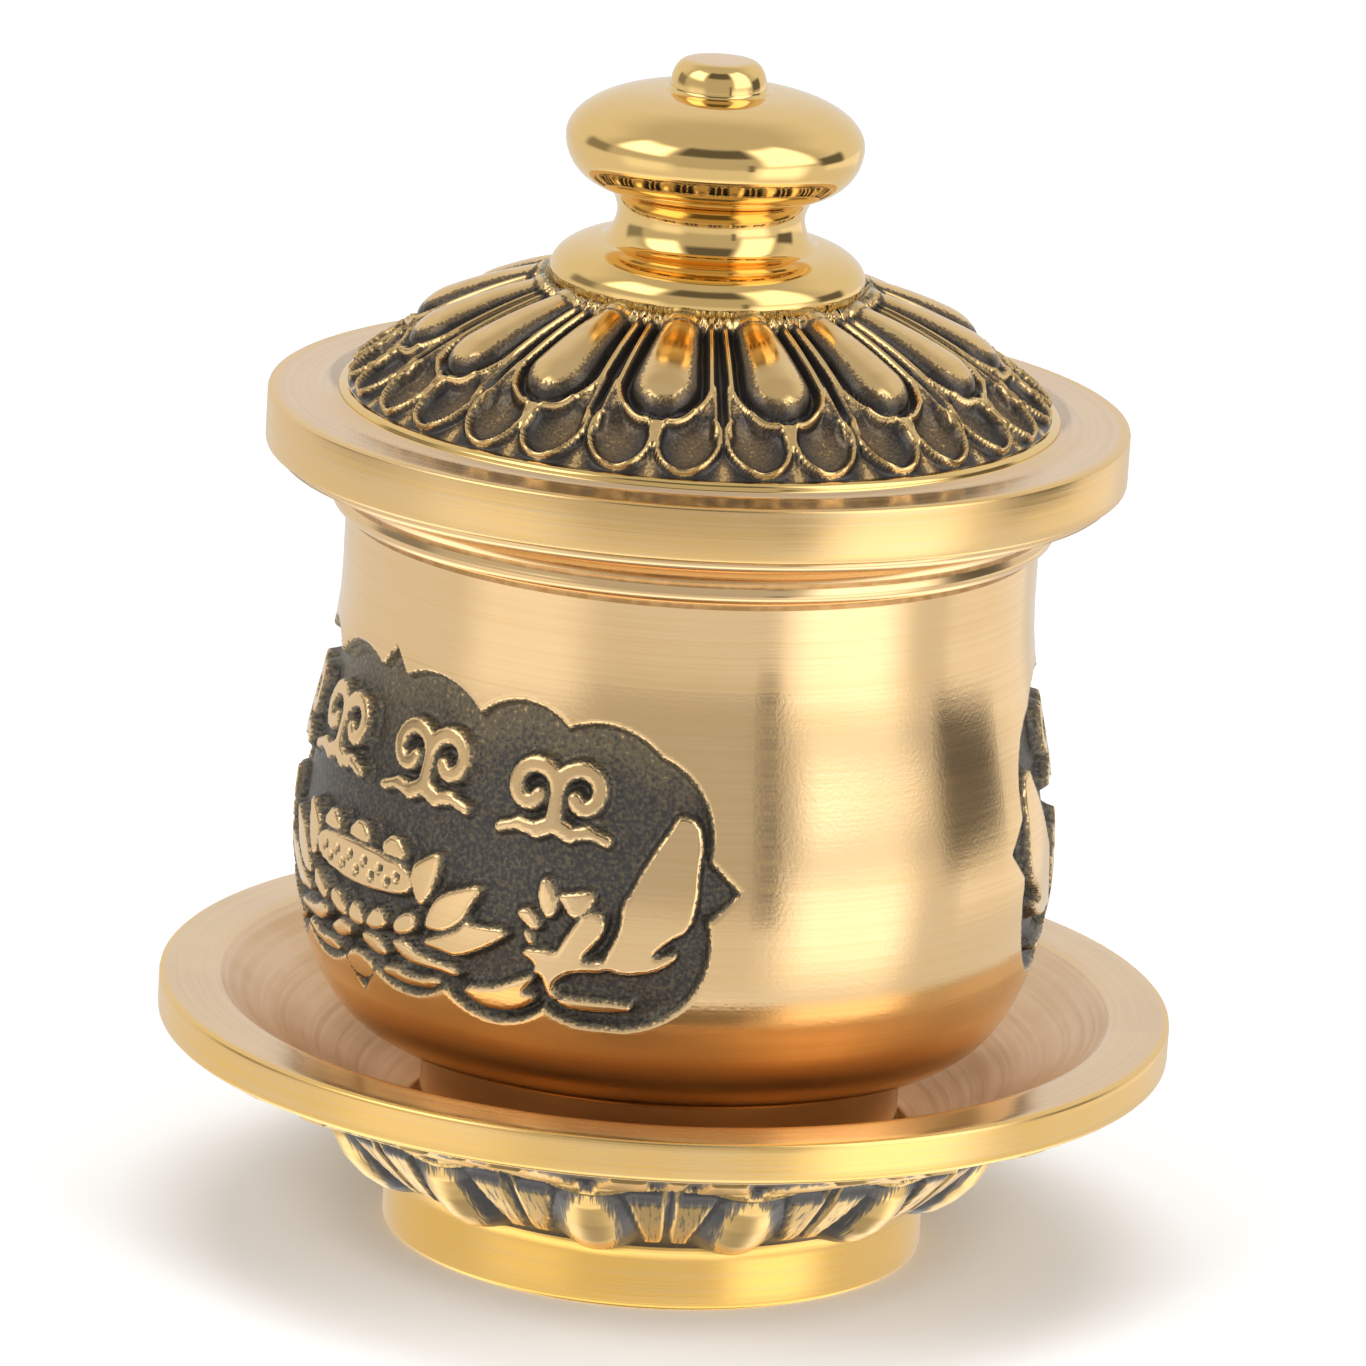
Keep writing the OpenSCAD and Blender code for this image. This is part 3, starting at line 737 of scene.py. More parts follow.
@dataclass
class Saucer:
    """The saucer with its turned rim and dish, its foot ring and the lotus under the rim.

    A pair named start, end or edge says where a form begins to rise and where it is full.
    """

    rim_r: float = 37.5
    rim_top: float = 18.5
    rim_low: float = 15.5
    face_r: float = 33.3
    well_r: float = 18.8
    well_top: float = 8.3
    well_floor: float = 7.0
    hollow_top: float = 5.0
    ring_r: float = 20.1
    ring_in_r: float = 16.7
    ring_h: float = 4.8
    slope_r: float = 36.3
    bowl: Point = (27.6, 12.0)
    bowl_mid: Point = (24.4, 7.85)
    edge: float = 0.4
    well_edge: float = 0.3
    well_lip: Point = (1.0, 0.75)
    petals: int = 14
    petal_turn: float = 15.8
    columns: int = 48
    bowl_rows: int = 56
    flare_rows: int = 30
    flank: float = 1.1
    lobe_edge: Point = (0.28, 0.45)
    lobe_soft: Point = (0.3, 0.1)
    lobe_start: Point = (1.6, 2.6)
    lobe_end: Point = (9.4, 8.4)
    lobe_h: float = 0.45
    ridge_low: float = 9.2
    ridge_rise: float = 3.4
    ridge_bend: float = 1.7
    ridge_w: float = 0.3
    above_w: float = 0.5
    scale_run: float = 8.0
    scale_start: Point = (0.3, 1.0)
    scale_spread: Point = (4.0, 4.4)
    scale_end: Point = (9.8, 8.9)
    peak_start: Point = (11.4, 11.9)
    seam_gap: float = 0.42
    seam_w: float = 0.14
    seam_start: Point = (2.4, 3.4)
    worn_z: float = 5.1
    worn_size: Point = (1.8, 3.6)
    worn_fade: float = 1.5
    lobe_gold: float = 0.6
    lobe_gold_end: Point = (9.0, 8.0)
    relief_start: Point = (0.0, 0.5)
    relief_end: float = 0.3

    def outline(self) -> Outline:
        """Draws the saucer from the hollow of the foot ring round to the well's middle.

        Returns:
            The outline.
        """
        edge = self.edge
        path = Outline().line(0.0, self.hollow_top).line(self.ring_in_r, self.hollow_top, steps=4)
        path.line(self.ring_in_r, 0.0, steps=2)
        path.corner(self.ring_r, 0.0, (self.ring_r, self.ring_h), edge, Zone.FOOT)
        path.line(self.ring_r, self.ring_h, Zone.FOOT, 4)
        path.curve(self.bowl_mid, self.bowl, Zone.RELIEF, self.bowl_rows)
        path.line(self.slope_r, self.rim_low, Zone.RELIEF, self.flare_rows)
        path.corner(self.rim_r, self.rim_low, (self.rim_r, self.rim_top), edge, Zone.BAND)
        path.line(self.rim_r, self.rim_top - 2 * edge, Zone.BAND, 3)
        path.corner(self.rim_r, self.rim_top, (self.face_r, self.rim_top), edge, Zone.BAND)
        path.line(self.face_r + 2 * edge, self.rim_top, Zone.FACE, 4)
        path.corner(self.face_r, self.rim_top, (self.well_r, self.well_top), edge, Zone.FACE)
        run, rise = self.well_lip
        path.line(self.well_r + run, self.well_top + rise, Zone.DISH, 10)
        path.corner(self.well_r, self.well_top, (self.well_r, self.well_floor), self.well_edge, Zone.DISH)
        path.line(self.well_r, self.well_floor, Zone.DISH)
        return path.line(0.0, self.well_floor, Zone.DISH, 6)

    def carve(self, sector: Sector) -> None:
        """Raises one lotus petal, its side lobes and the ridge under the rim.

        Args:
            sector: The sector of one petal.
        """
        zones = sector.where(Zone.RELIEF)
        rows = sector.rows[zones]
        steps = np.diff(np.vstack([[self.ring_r, self.ring_h], rows]), axis=0)
        up = np.cumsum(np.hypot(steps[:, 0], steps[:, 1]))[:, None]
        turn = np.abs(sector.azimuths - self.petal_turn)[None, :]
        side = np.radians(turn) * rows[:, 0:1]
        half = np.radians(180.0 / self.petals) * rows[:, 0:1]
        gap = half - side
        total = up.max()
        y = np.broadcast_to(up, side.shape)
        # egg-shaped bulb with broad flanks
        width = np.interp(up, *BULB_WIDTHS)
        round_off = np.cos(np.pi / 2 * np.clip(side / width, 0.0, 1.0)) ** self.flank
        bulb = np.interp(up, *BULB_CRESTS) * round_off
        # flat lobes beside the groove between the petals
        lobe_w = np.interp(up, *LOBE_WIDTHS)
        over, within = self.lobe_soft
        lobe = smooth(gap, *self.lobe_edge) * smooth(gap, lobe_w + over, lobe_w - within)
        lobe = lobe * smooth(y, *self.lobe_start) * smooth(y, *self.lobe_end)
        # ridge that dips over each bulb and peaks between the petals
        ridge_at = self.ridge_low + self.ridge_rise * (side / half) ** self.ridge_bend
        ridge = hump(y - ridge_at, self.ridge_w)
        above = smooth(y, ridge_at, ridge_at + self.above_w)
        # scales and peaks over the ridge
        rise = np.clip((y - ridge_at) / self.scale_run, 0.0, 1.0)
        low, high = (a + b * rise for a, b in zip(self.scale_start, self.scale_spread))
        scale = above * smooth(turn, low, high) * smooth(turn, *self.scale_end)
        peak = above * smooth(turn, *self.peak_start)
        # thin seam in the groove between the petals
        seam = hump(gap - self.seam_gap, self.seam_w) * smooth(y, *self.seam_start)
        seam = seam * smooth(y, ridge_at, ridge_at - 1.0)
        # each thin form with its height and its brightness
        forms = ((ridge, 0.5, 0.8), (scale, 0.55, 0.85), (peak, 0.45, 0.75), (seam, 0.5, 0.85))
        height = np.maximum.reduce([bulb, self.lobe_h * lobe, *(tall * form for form, tall, _ in forms)])
        height = height * smooth(y, *self.relief_start)
        sector.height[zones] = height * smooth(y, total, total - self.relief_end)
        worn = np.hypot(side / self.worn_size[0], (y - self.worn_z) / self.worn_size[1])
        bulb_gold = 0.5 + self.worn_fade * (1.0 - worn)
        lobe_gold = self.lobe_gold * lobe * smooth(y, *self.lobe_gold_end)
        gold = np.maximum.reduce([bulb_gold, lobe_gold, *(bright * form for form, _, bright in forms)])
        sector.gild[zones] = np.clip(gold, 0.0, 1.0)

    def build(self) -> bpy.types.Object:
        """Builds and dresses the saucer.

        Returns:
            The piece at the origin.
        """
        sector = Sector(self.outline(), petal_turns(self.petal_turn, self.petals, self.columns))
        self.carve(sector)
        dish = DISH.material()
        return set_round("saucer_body", sector, self.petals, {
            Zone.PLAIN: dish, Zone.FOOT: FOOT_BAND.material(), Zone.BAND: RIM_BAND.material(),
            Zone.RELIEF: LOTUS.material(), Zone.FACE: FACES.material(), Zone.DISH: dish,
        })


# the panel on the unrolled body: azimuths from its middle in degrees, heights and radii in millimetres
PANEL_LOBES = (
    (10.5, 39.1, 7.4), (28.5, 40.4, 5.75), (41.8, 38.4, 6.9), (47.8, 37.6, 6.05),
    (46.5, 30.0, 6.8), (43.0, 29.6, 6.45), (27.5, 28.3, 5.8), (11.0, 29.35, 6.45),
)
PANEL_POINTS = ((0.0, 45.05, 2.4), (0.0, 24.1, 2.4), (57.5, 34.0, 3.4))
PANEL_BLOCKS = ((59.6, 30.2, 38.6), (50.0, 25.2, 42.8), (8.0, 41.0, 45.4))
SIDE_MOTIFS = (
    # large leaf at the side, with its turned-up lip
    ((54.7, 39.2), (57.5, 38.9), (58.3, 37.4), (57.8, 35.3), (57.8, 33.5), (56.9, 31.3), (53.9, 30.5),
     (51.2, 29.1), (52.8, 28.8), (55.8, 29.5), (53.3, 28.3), (50.2, 27.8), (46.7, 27.7), (44.8, 28.2),
     (46.9, 30.3), (47.4, 31.6), (47.4, 32.8), (48.7, 33.7), (49.8, 35.0), (51.8, 36.8), (54.3, 38.6)),
    # young plant, its foot joined to the large leaf
    ((32.2, 28.4), (36.0, 28.7), (37.7, 28.4), (39.2, 29.8), (40.7, 31.0), (41.9, 31.8), (44.0, 31.9),
     (44.5, 31.0), (43.7, 30.1), (42.0, 29.1), (41.0, 28.3), (42.1, 28.0), (45.7, 28.4), (44.9, 27.7),
     (39.9, 27.5), (37.6, 26.7), (36.9, 25.9), (37.6, 25.1), (36.6, 25.4), (35.7, 26.9), (34.2, 27.0),
     (34.9, 27.5), (33.7, 28.0)),
    ((31.5, 31.3), (33.3, 31.6), (34.9, 30.6), (34.2, 30.2), (32.0, 30.9)),
    ((34.6, 32.9), (35.0, 34.1), (36.4, 33.4), (37.4, 32.2), (36.3, 31.1), (35.0, 32.0)),
    ((37.6, 32.9), (39.7, 33.1), (42.8, 33.4), (42.5, 32.5), (41.0, 31.7), (39.7, 31.5), (38.7, 32.3)),
    ((32.6, 29.9), (33.3, 29.9), (34.0, 29.2), (33.4, 29.1)),
    # ripples
    ((22.1, 24.6), (27.7, 25.0), (30.8, 25.8), (34.2, 26.6), (32.8, 25.7), (32.3, 25.1), (34.7, 25.0),
     (31.7, 23.9), (27.5, 23.5), (24.4, 23.8)),
    ((37.1, 25.7), (37.8, 25.1), (40.4, 25.2), (49.1, 25.2), (48.2, 24.8), (42.3, 24.6), (39.0, 24.6)),
    # large outer petals
    ((15.6, 28.7), (16.9, 30.3), (18.5, 31.2), (21.7, 31.9), (25.0, 32.5), (24.3, 31.7), (23.2, 30.9),
     (22.5, 30.0), (19.6, 28.8), (16.4, 28.5)),
    ((14.6, 27.3), (18.7, 28.1), (22.0, 28.9), (23.0, 29.7), (24.1, 29.4), (30.2, 29.7), (27.3, 28.5),
     (21.5, 27.0), (19.3, 27.1)),
    ((12.3, 32.5), (14.4, 33.4), (17.4, 34.2), (17.2, 33.0), (16.2, 31.3), (14.6, 30.0), (13.3, 30.8)),
    # crown over the pod
    ((5.2, 33.3), (8.3, 34.6), (11.3, 33.1), (8.2, 33.0)),
    # upright petals under the pod
    ((2.5, 27.3), (5.5, 28.8), (7.3, 28.2), (6.9, 27.5), (4.0, 27.0)),
    ((9.0, 27.6), (10.0, 28.5), (12.8, 29.3), (13.5, 28.7), (13.1, 28.0), (10.3, 27.4)),
    # petals on the water
    ((1.0, 26.1), (3.9, 26.6), (7.0, 25.8), (7.2, 25.4), (4.3, 25.3)),
    ((8.5, 26.5), (10.9, 26.9), (14.2, 26.1), (21.1, 25.9), (21.4, 25.4), (16.8, 25.6), (11.9, 25.5)),
    ((5.3, 24.0), (8.4, 24.6), (12.2, 24.1), (18.7, 24.8), (15.9, 23.9), (10.7, 23.7)),
)
MIDDLE_MOTIFS = (
    ((-3.1, 33.4), (0.0, 34.8), (3.1, 33.4), (0.0, 33.2)),
    ((-12.7, 31.5), (-11.0, 32.4), (-6.0, 32.75), (0.0, 32.9), (6.0, 32.75), (11.0, 32.4), (12.7, 31.5),
     (11.5, 30.6), (6.0, 30.2), (0.0, 30.05), (-6.0, 30.2), (-11.5, 30.6)),
    ((-2.2, 27.2), (0.0, 28.7), (2.2, 27.2), (0.0, 26.8)),
    ((-3.8, 24.0), (0.0, 24.7), (3.8, 24.0), (2.5, 23.2), (0.0, 22.7), (-2.5, 23.2)),
)
POD_SEEDS = ((1.9, 31.85), (5.6, 31.75), (9.4, 31.55), (0.0, 30.9), (3.8, 30.95), (7.5, 31.0))
CLOUD_MIDS = ((12.0, 40.4), (35.5, 39.8))
# a cloud's own points, in millimetres from its middle
CLOUD_FOOT = (0.0, -1.9)
CLOUD_TAIL = (CLOUD_FOOT, (1.3, -2.5), (2.7, -2.2), (4.2, -2.7))
HORN_MID = (2.0, 0.35)


@dataclass
class Cup:
    """The footed cup with its flared lip and two opposite carved panels."""

    foot_r: float = 17.8
    foot_low: float = 7.0
    foot_top: float = 15.0
    recess_r: float = 14.8
    recess_top: float = 10.0
    bowl_r: float = 21.35
    bowl_low: float = 16.0
    belly: Point = (28.15, 30.5)
    neck: Point = (25.4, 50.0)
    groove: float = 54.5
    step: Point = (26.35, 56.2)
    lip: Point = (30.6, 59.0)
    edge: float = 0.3
    lip_edge: float = 0.7
    lip_round: float = 0.2
    line_edge: float = 0.12
    groove_run: Point = (0.4, 0.9)
    swell: Point = (1.15, 0.85)
    swell_arc: Point = (-55.0, 40.0)
    flare_bend: Point = (0.7, 1.2)
    wall: float = 2.3
    floor_top: float = 18.2
    panels: int = 2
    panel_turn: float = -54.0
    panel_half: float = 66.0
    panel_low: float = 20.8
    panel_top: float = 48.2
    depth: float = 1.0
    columns: int = 280
    side_columns: int = 16
    rows: int = 116
    sheet: float = 0.4887
    horn_start: float = 190.0
    horn_curl: float = 335.0
    horn_r: float = 2.15
    horn_draw: float = 1.45
    horn_steps: int = 19
    horn_width: Point = (0.46, 0.38)
    tail_width: Point = (0.45, 0.12)
    spread: float = 0.08
    motif_slope: Point = (0.5, -0.05)
    edge_slope: Point = (0.05, -0.5)
    seed_r: float = 0.3
    seed_depth: float = 0.4
    seed_slope: Point = (0.15, -0.15)
    rub: float = 0.7
    speck: Point = (0.2, 0.15)
    speck_rise: Point = (38.0, 44.0)
    speck_edge: Point = (-4.5, -0.8)

    def side(self, z: float) -> float:
        """Works out the body's radius.

        Args:
            z: Height.

        Returns:
            The radius there.
        """
        if z > self.belly[1]:
            t = min(1.0, (z - self.belly[1]) / (self.neck[1] - self.belly[1]))
            return self.neck[0] + (self.belly[0] - self.neck[0]) * (1.0 + math.cos(math.pi * t)) / 2.0
        t = (self.belly[1] - z) / (self.belly[1] - self.bowl_low)
        return self.bowl_r + (self.belly[0] - self.bowl_r) * math.sqrt(max(0.0, 1.0 - t * t))

    def outline(self) -> Outline:
        """Draws the cup from the middle of its foot round to the middle of its floor.

        Returns:
            The outline.
        """
        edge = self.edge
        path = Outline().line(0.0, self.recess_top).line(self.recess_r, self.recess_top)
        path.line(self.recess_r, self.foot_low)
        path.corner(self.foot_r, self.foot_low, (self.foot_r, self.foot_top), edge, Zone.BODY, 2)
        path.line(self.foot_r, self.foot_top - edge, Zone.BODY)
        path.corner(self.foot_r, self.foot_top, (self.bowl_r, self.bowl_low), edge, Zone.BODY, 2)
        path.line(self.bowl_r, self.bowl_low, Zone.BODY)
        start = math.degrees(math.asin((self.panel_low - self.belly[1]) / (self.belly[1] - self.bowl_low)))
        size = (self.belly[0] - self.bowl_r, self.belly[1] - self.bowl_low)
        path.arc((self.bowl_r, self.belly[1]), size, -90.0, start, Zone.BODY, 7)
        for z in np.linspace(self.panel_low, self.panel_top, self.rows + 1)[1:]:
            path.line(self.side(z), float(z), Zone.RELIEF)
        path.line(self.neck[0], self.neck[1], Zone.BODY)
        below, above = self.groove_run
        path.line(self.neck[0], self.groove - below, Zone.BODY, 2)
        fine = self.line_edge
        # this corner in the groove and the step's corner further on carry painted shade, a thin brown line in
        # each crease
        path.corner(self.neck[0], self.groove, (self.step[0], self.groove + above), fine, Zone.LINE, 2)
        path.arc((self.neck[0], (self.groove + self.step[1]) / 2), self.swell, *self.swell_arc, Zone.BODY, 4)
        bend = (self.step[0] + self.flare_bend[0], self.lip[1] - self.flare_bend[1])
        # the step's corner, with painted shade in its crease
        path.corner(self.step[0], self.step[1], bend, fine, Zone.LINE, 2)
        path.curve(bend, (self.lip[0], self.lip[1] - self.lip_edge), Zone.BODY, 7)
        path.corner(self.lip[0], self.lip[1], (self.neck[0], self.lip[1]), self.lip_round, Zone.BODY, 2)
        mouth = self.neck[0] - self.wall
        path.corner(mouth, self.lip[1], (mouth, self.neck[1]), edge, Zone.INSIDE, 1)
        for z in np.linspace(self.neck[1], self.belly[1], 5):
            path.line(self.side(float(z)) - self.wall, float(z), Zone.INSIDE)
        inner = (size[0] - self.wall, self.belly[1] - self.floor_top)
        path.arc((self.bowl_r, self.belly[1]), inner, 0.0, -90.0, Zone.INSIDE, 5)
        return path.line(0.0, self.floor_top, Zone.INSIDE)

    def shape(self, x: Grid, z: Grid) -> Grid:
        """Measures to the panel's cusped edge.

        Args:
            x: Places along the unrolled body from the panel's middle.
            z: Heights.

        Returns:
            The distance at each place, negative inside.
        """
        k = self.sheet
        side = np.abs(x)
        parts = [np.maximum(side - a * k, np.maximum(low - z, z - high)) for a, low, high in PANEL_BLOCKS]
        parts += [disc(side, z, (a * k, h), r) for a, h, r in PANEL_LOBES]
        parts += [(np.abs(side - a * k) + np.abs(z - h) - r) * math.sqrt(0.5) for a, h, r in PANEL_POINTS]
        return np.minimum.reduce(parts)

    def cloud(self, x: Grid, z: Grid, mid: Point) -> Grid:
        """Measures to a scroll cloud of two horns that curl over a wavy tail.

        Args:
            x: Places along the unrolled body from the panel's middle.
            z: Heights.
            mid: Middle of the cloud.

        Returns:
            The distance at each place, negative inside.
        """
        across = np.abs(x - mid[0])
        up = z - mid[1]
        horn = [CLOUD_FOOT]
        for t in np.linspace(0.0, 1.0, self.horn_steps):
            a = math.radians(self.horn_start - self.horn_curl * t)
            r = self.horn_r - self.horn_draw * t
            horn.append((HORN_MID[0] + r * math.cos(a), HORN_MID[1] + r * math.sin(a)))
        return np.minimum(stroke(across, up, horn, *self.horn_width),
                          stroke(across, up, CLOUD_TAIL, *self.tail_width))

    def motifs(self, x: Grid, z: Grid) -> Grid:
        """Measures to the nearest raised motif of the panel.

        Args:
            x: Places along the unrolled body from the panel's middle.
            z: Heights.

        Returns:
            The distance at each place, negative inside.
        """
        k = self.sheet
        side = np.abs(x)
        parts = [polygon(side, z, rounded([(a * k, h) for a, h in points])) for points in SIDE_MOTIFS]
        parts += [polygon(x, z, rounded([(a * k, h) for a, h in points])) for points in MIDDLE_MOTIFS]
        parts += [self.cloud(side, z, (a * k, h)) for a, h in CLOUD_MIDS]
        return np.minimum.reduce(parts) - self.spread

    def carve(self, sector: Sector) -> None:
        """Sinks the panel's ground into the body and leaves the motifs standing.

        Args:
            sector: The half of the cup round one panel.
        """
        zones = sector.where(Zone.RELIEF)
        x = (sector.azimuths - self.panel_turn)[None, :] * self.sheet
        z = sector.rows[zones][:, 1:2]
        x, z = np.broadcast_arrays(x, z)
        edge = self.shape(x, z)
        motif = self.motifs(x, z)
        seeds = [disc(np.abs(x), z, (a * self.sheet, h), self.seed_r) for a, h in POD_SEEDS]
        seeds = np.minimum.reduce(seeds)
        raised = smooth(motif, *self.motif_slope) * (1.0 - self.seed_depth * smooth(seeds, *self.seed_slope))
        sunk = smooth(edge, *self.edge_slope)
        sector.height[zones] = sunk * (raised - 1.0) * self.depth
        gold = np.minimum(0.5 - motif / self.rub, 0.5 + seeds / self.rub)
        few, more = self.speck
        specks = few + more * smooth(z, *self.speck_rise) * smooth(edge, *self.speck_edge)
        sector.gild[zones] = np.clip(np.maximum.reduce([0.5 + edge / self.rub, gold, specks]), 0.0, 1.0)

    def build(self) -> bpy.types.Object:
        """Builds and dresses the cup.

        Returns:
            The piece at the origin.
        """
        low, high = self.panel_turn - self.panel_half, self.panel_turn + self.panel_half
        half = 180.0 / self.panels
        turns = np.concatenate([
            np.linspace(self.panel_turn - half, low, self.side_columns // 2 + 1)[:-1],
            np.linspace(low, high, self.columns + 1)[:-1],
            np.linspace(high, self.panel_turn + half, self.side_columns // 2 + 1),
        ])
        sector = Sector(self.outline(), turns)
        self.carve(sector)
        body = BODY.material()
        return set_round("cup_body", sector, self.panels, {
            Zone.PLAIN: body, Zone.BODY: body, Zone.RELIEF: PANEL.material(),
            # the LINE zone takes the painted shade of the neck's creases
            Zone.INSIDE: FACES.material(), Zone.LINE: PAINTED_SHADE_LINE.material(),
        })


# a lid petal's height at radii from the seat to its lower end
PETAL_CRESTS = ((11.7, 12.6, 14.0, 19.0), (1.15, 0.95, 1.05, 1.45))
# height, rate to the millimetre and start of the waves in the ragged edge round the seat
CHIP_WAVES = ((0.16, 9.7, 0.0), (0.1, 23.1, 1.0))


@dataclass
class Lid:
    """The lid with its flange, its lotus dome and the spigot that centres it in the cup.

    A pair named start or end says at which radii a form begins to rise and is full. A pair of widths or gaps
    holds for the upper and the lower end.
    """

    low: float = 59.0
    flange_r: float = 31.5
    flange_top: float = 62.95
    bead_r: float = 26.4
    dome_r: float = 25.7
    dome_low: float = 63.55
    seat_r: float = 11.7
    seat_z: float = 71.4
    chip_r: float = 12.1
    ball_mid: float = 33.83
    ball_r: float = 39.29
    dome_wall: float = 2.4
    hollow_r: float = 20.75
    crown_low: float = 68.4
    hole_r: float = 2.15
    spigot_r: float = 22.75
    spigot_low: float = 55.0
    petals: int = 15
    petal_turn: float = -7.5
    columns: int = 54
    petal_rows: int = 34
    scallop_rows: int = 58
    edge: float = 0.4
    flange_edge: float = 0.25
    spigot_edge: float = 0.3
    dome_step: float = 0.1
    bead: float = 0.45
    bead_lift: float = 0.15
    turn_r: float = 19.4
    crown_r: float = 12.88
    petal_end: float = 19.0
    petal_w: Point = (1.3, 2.45)
    petal_squash: float = 0.98
    petal_flank: float = 2.2
    rib_gap: Point = (0.45, 0.7)
    rib_squash: float = 1.05
    rib_round: float = 3.28
    rib_w: float = 0.27
    rib_end: Point = (22.6, 21.9)
    branch_gap: float = 0.5
    branch_w: float = 0.24
    branch_start: Point = (18.0, 19.0)
    branch_end: Point = (23.6, 22.6)
    web_at: Point = (3.3, 20.6)
    web_size: Point = (0.6, 0.8)
    scallop_at: Point = (23.2, 23.25)
    scallop_r: float = 2.2
    rim_w: float = 0.22
    rim_start: Point = (21.2, 21.9)
    spur_run: Point = (21.8, 23.4)
    spur_w: Point = (0.5, 0.2)
    spur_start: Point = (21.4, 22.0)
    spur_end: Point = (24.6, 23.4)
    foot_run: Point = (23.6, 25.4)
    foot_w: Point = (0.1, 0.8)
    foot_start: Point = (23.6, 25.0)
    under_edge: Point = (2.4, 2.1)
    under_h: float = 0.15
    face_depth: float = 0.8
    chip_h: float = 0.75
    root_end: Point = (12.6, 12.0)
    groove_end: Point = (21.5, 20.0)
    groove_depth: float = 0.3
    low_h: float = 0.3
    dome_fade: float = 0.5
    petal_gold_start: Point = (12.2, 13.0)
    rib_gold_start: Point = (12.4, 13.4)
    chip_gold_end: Point = (12.6, 12.2)

    def ball(self, r: float, inset: float = 0.0) -> float:
        """Gives the height of the dome's ball at a radius."""
        return self.ball_mid + math.sqrt((self.ball_r - inset) ** 2 - r * r)

    def outline(self) -> Outline:
        """Draws the lid, closed, from the screw hole over the dome and back under it.

        Returns:
            The outline.
        """
        edge = self.edge
        path = Outline().line(self.hole_r, self.seat_z).line(self.seat_r - edge, self.seat_z, Zone.SEAT)
        radii = np.concatenate([np.linspace(self.seat_r, self.turn_r, self.petal_rows + 1)[:-1],
                                np.linspace(self.turn_r, self.dome_r, self.scallop_rows + 1)])
        for r in radii:
            path.line(float(r), self.ball(float(r)), Zone.RELIEF if r > self.chip_r else Zone.SEAT)
        path.line(self.dome_r + self.dome_step, self.dome_low, Zone.BEAD)
        bead_mid = (self.bead_r - self.bead, self.flange_top + self.bead_lift)
        path.arc(bead_mid, (self.bead, self.bead), 90.0, 0.0, Zone.BEAD, 4)
        path.line(self.bead_r, self.flange_top, Zone.BEAD)
        path.line(self.flange_r - 2 * edge, self.flange_top, Zone.FACE, 2)
        path.corner(self.flange_r, self.flange_top, (self.flange_r, self.low), self.flange_edge, Zone.BAND, 2)
        path.line(self.flange_r, self.low + 2 * edge, Zone.BAND)
        path.corner(self.flange_r, self.low, (self.spigot_r, self.low), self.flange_edge, Zone.BAND, 2)
        path.line(self.spigot_r, self.low, Zone.FACE)
        path.line(self.spigot_r, self.spigot_low + edge)
        inner = (self.hollow_r, self.spigot_low)
        path.corner(self.spigot_r, self.spigot_low, inner, self.spigot_edge, steps=2)
        path.line(*inner)
        for r in np.linspace(self.hollow_r, self.crown_r, 4):
            path.line(float(r), self.ball(float(r), self.dome_wall))
        path.line(self.crown_r, self.crown_low)
        return path.line(self.hole_r, self.crown_low)

    def carve(self, sector: Sector) -> None:
        """Raises one long petal, its ribs and the two scallops under it.

        Args:
            sector: The sector of one petal.
        """
        zones = sector.where(Zone.RELIEF, Zone.SEAT)
        zones &= sector.rows[:, 0] >= self.seat_r
        r = sector.rows[zones][:, 0:1]
        x = np.radians(sector.azimuths - self.petal_turn)[None, :] * r
        side = np.abs(x)
        half = math.pi / self.petals * r
        y = np.broadcast_to(r, x.shape)
        # long petal with a round lower end
        end = self.petal_end
        width = np.interp(r, [self.seat_r, end], self.petal_w)
        low_end = np.hypot(x, (r - end) * self.petal_squash) / self.petal_w[1]
        away = np.where(r < end, side / width, low_end)
        petal = np.sqrt(np.clip(1.0 - away ** self.petal_flank, 0.0, 1.0))
        petal = petal * np.interp(r, *PETAL_CRESTS)
        # pair of ribs that follow the petal and close under it
        run = half - np.interp(r, [self.seat_r, end], self.rib_gap)
        bow = np.abs(np.hypot(x, (y - end) * self.rib_squash) - self.rib_round)
        rib = hump(np.where(r < end, np.abs(side - run), bow), self.rib_w) * smooth(y, *self.rib_end)
        # the rib's outer branch down beside the scallops
        branch = hump(half - side - self.branch_gap, self.branch_w) * smooth(y, *self.branch_start)
        branch = branch * smooth(y, *self.branch_end)
        web = hump(np.hypot((side - self.web_at[0]) / self.web_size[0],
                            (y - self.web_at[1]) / self.web_size[1]), 1.0)
        # scallops with a thin raised rim and a hollow face
        mid = (self.scallop_at[0] * math.sin(math.radians(90.0 / self.petals)), self.scallop_at[1])
        far = np.hypot(side - mid[0], y - mid[1])
        rim = hump(far - self.scallop_r, self.rim_w) * smooth(y, *self.rim_start)
        face = np.clip(1.0 - (far / self.scallop_r) ** 2, 0.0, 1.0)
        under = smooth(far, *self.under_edge)
        spur = hump(x, np.interp(y, self.spur_run, self.spur_w)) * smooth(y, *self.spur_start)
        spur = spur * smooth(y, *self.spur_end)
        foot = hump(np.minimum(side, half - side), np.interp(y, self.foot_run, self.foot_w))
        foot = foot * smooth(y, *self.foot_start)
        # ragged edge that the tool left at the petals' roots
        waves = (deep * np.sin(x * rate + start) for deep, rate, start in CHIP_WAVES)
        root = sum(waves, start=self.chip_h) * smooth(y, *self.root_end)
        # the thin forms with their heights
        forms = ((rib, 0.72), (branch, 0.6), (web, 0.5), (rim, 0.62), (spur, 0.55))
        height = np.maximum.reduce([petal, root, *(tall * form for form, tall in forms)])
        ground = 1.0 - smooth(height, 0.0, self.low_h)
        height = height - self.groove_depth * smooth(y, *self.groove_end) * ground + self.under_h * under
        height = height - self.face_depth * face * under * smooth(petal, self.low_h, 0.0)
        sector.height[zones] = height * smooth(y, self.dome_r, self.dome_r - self.dome_fade)
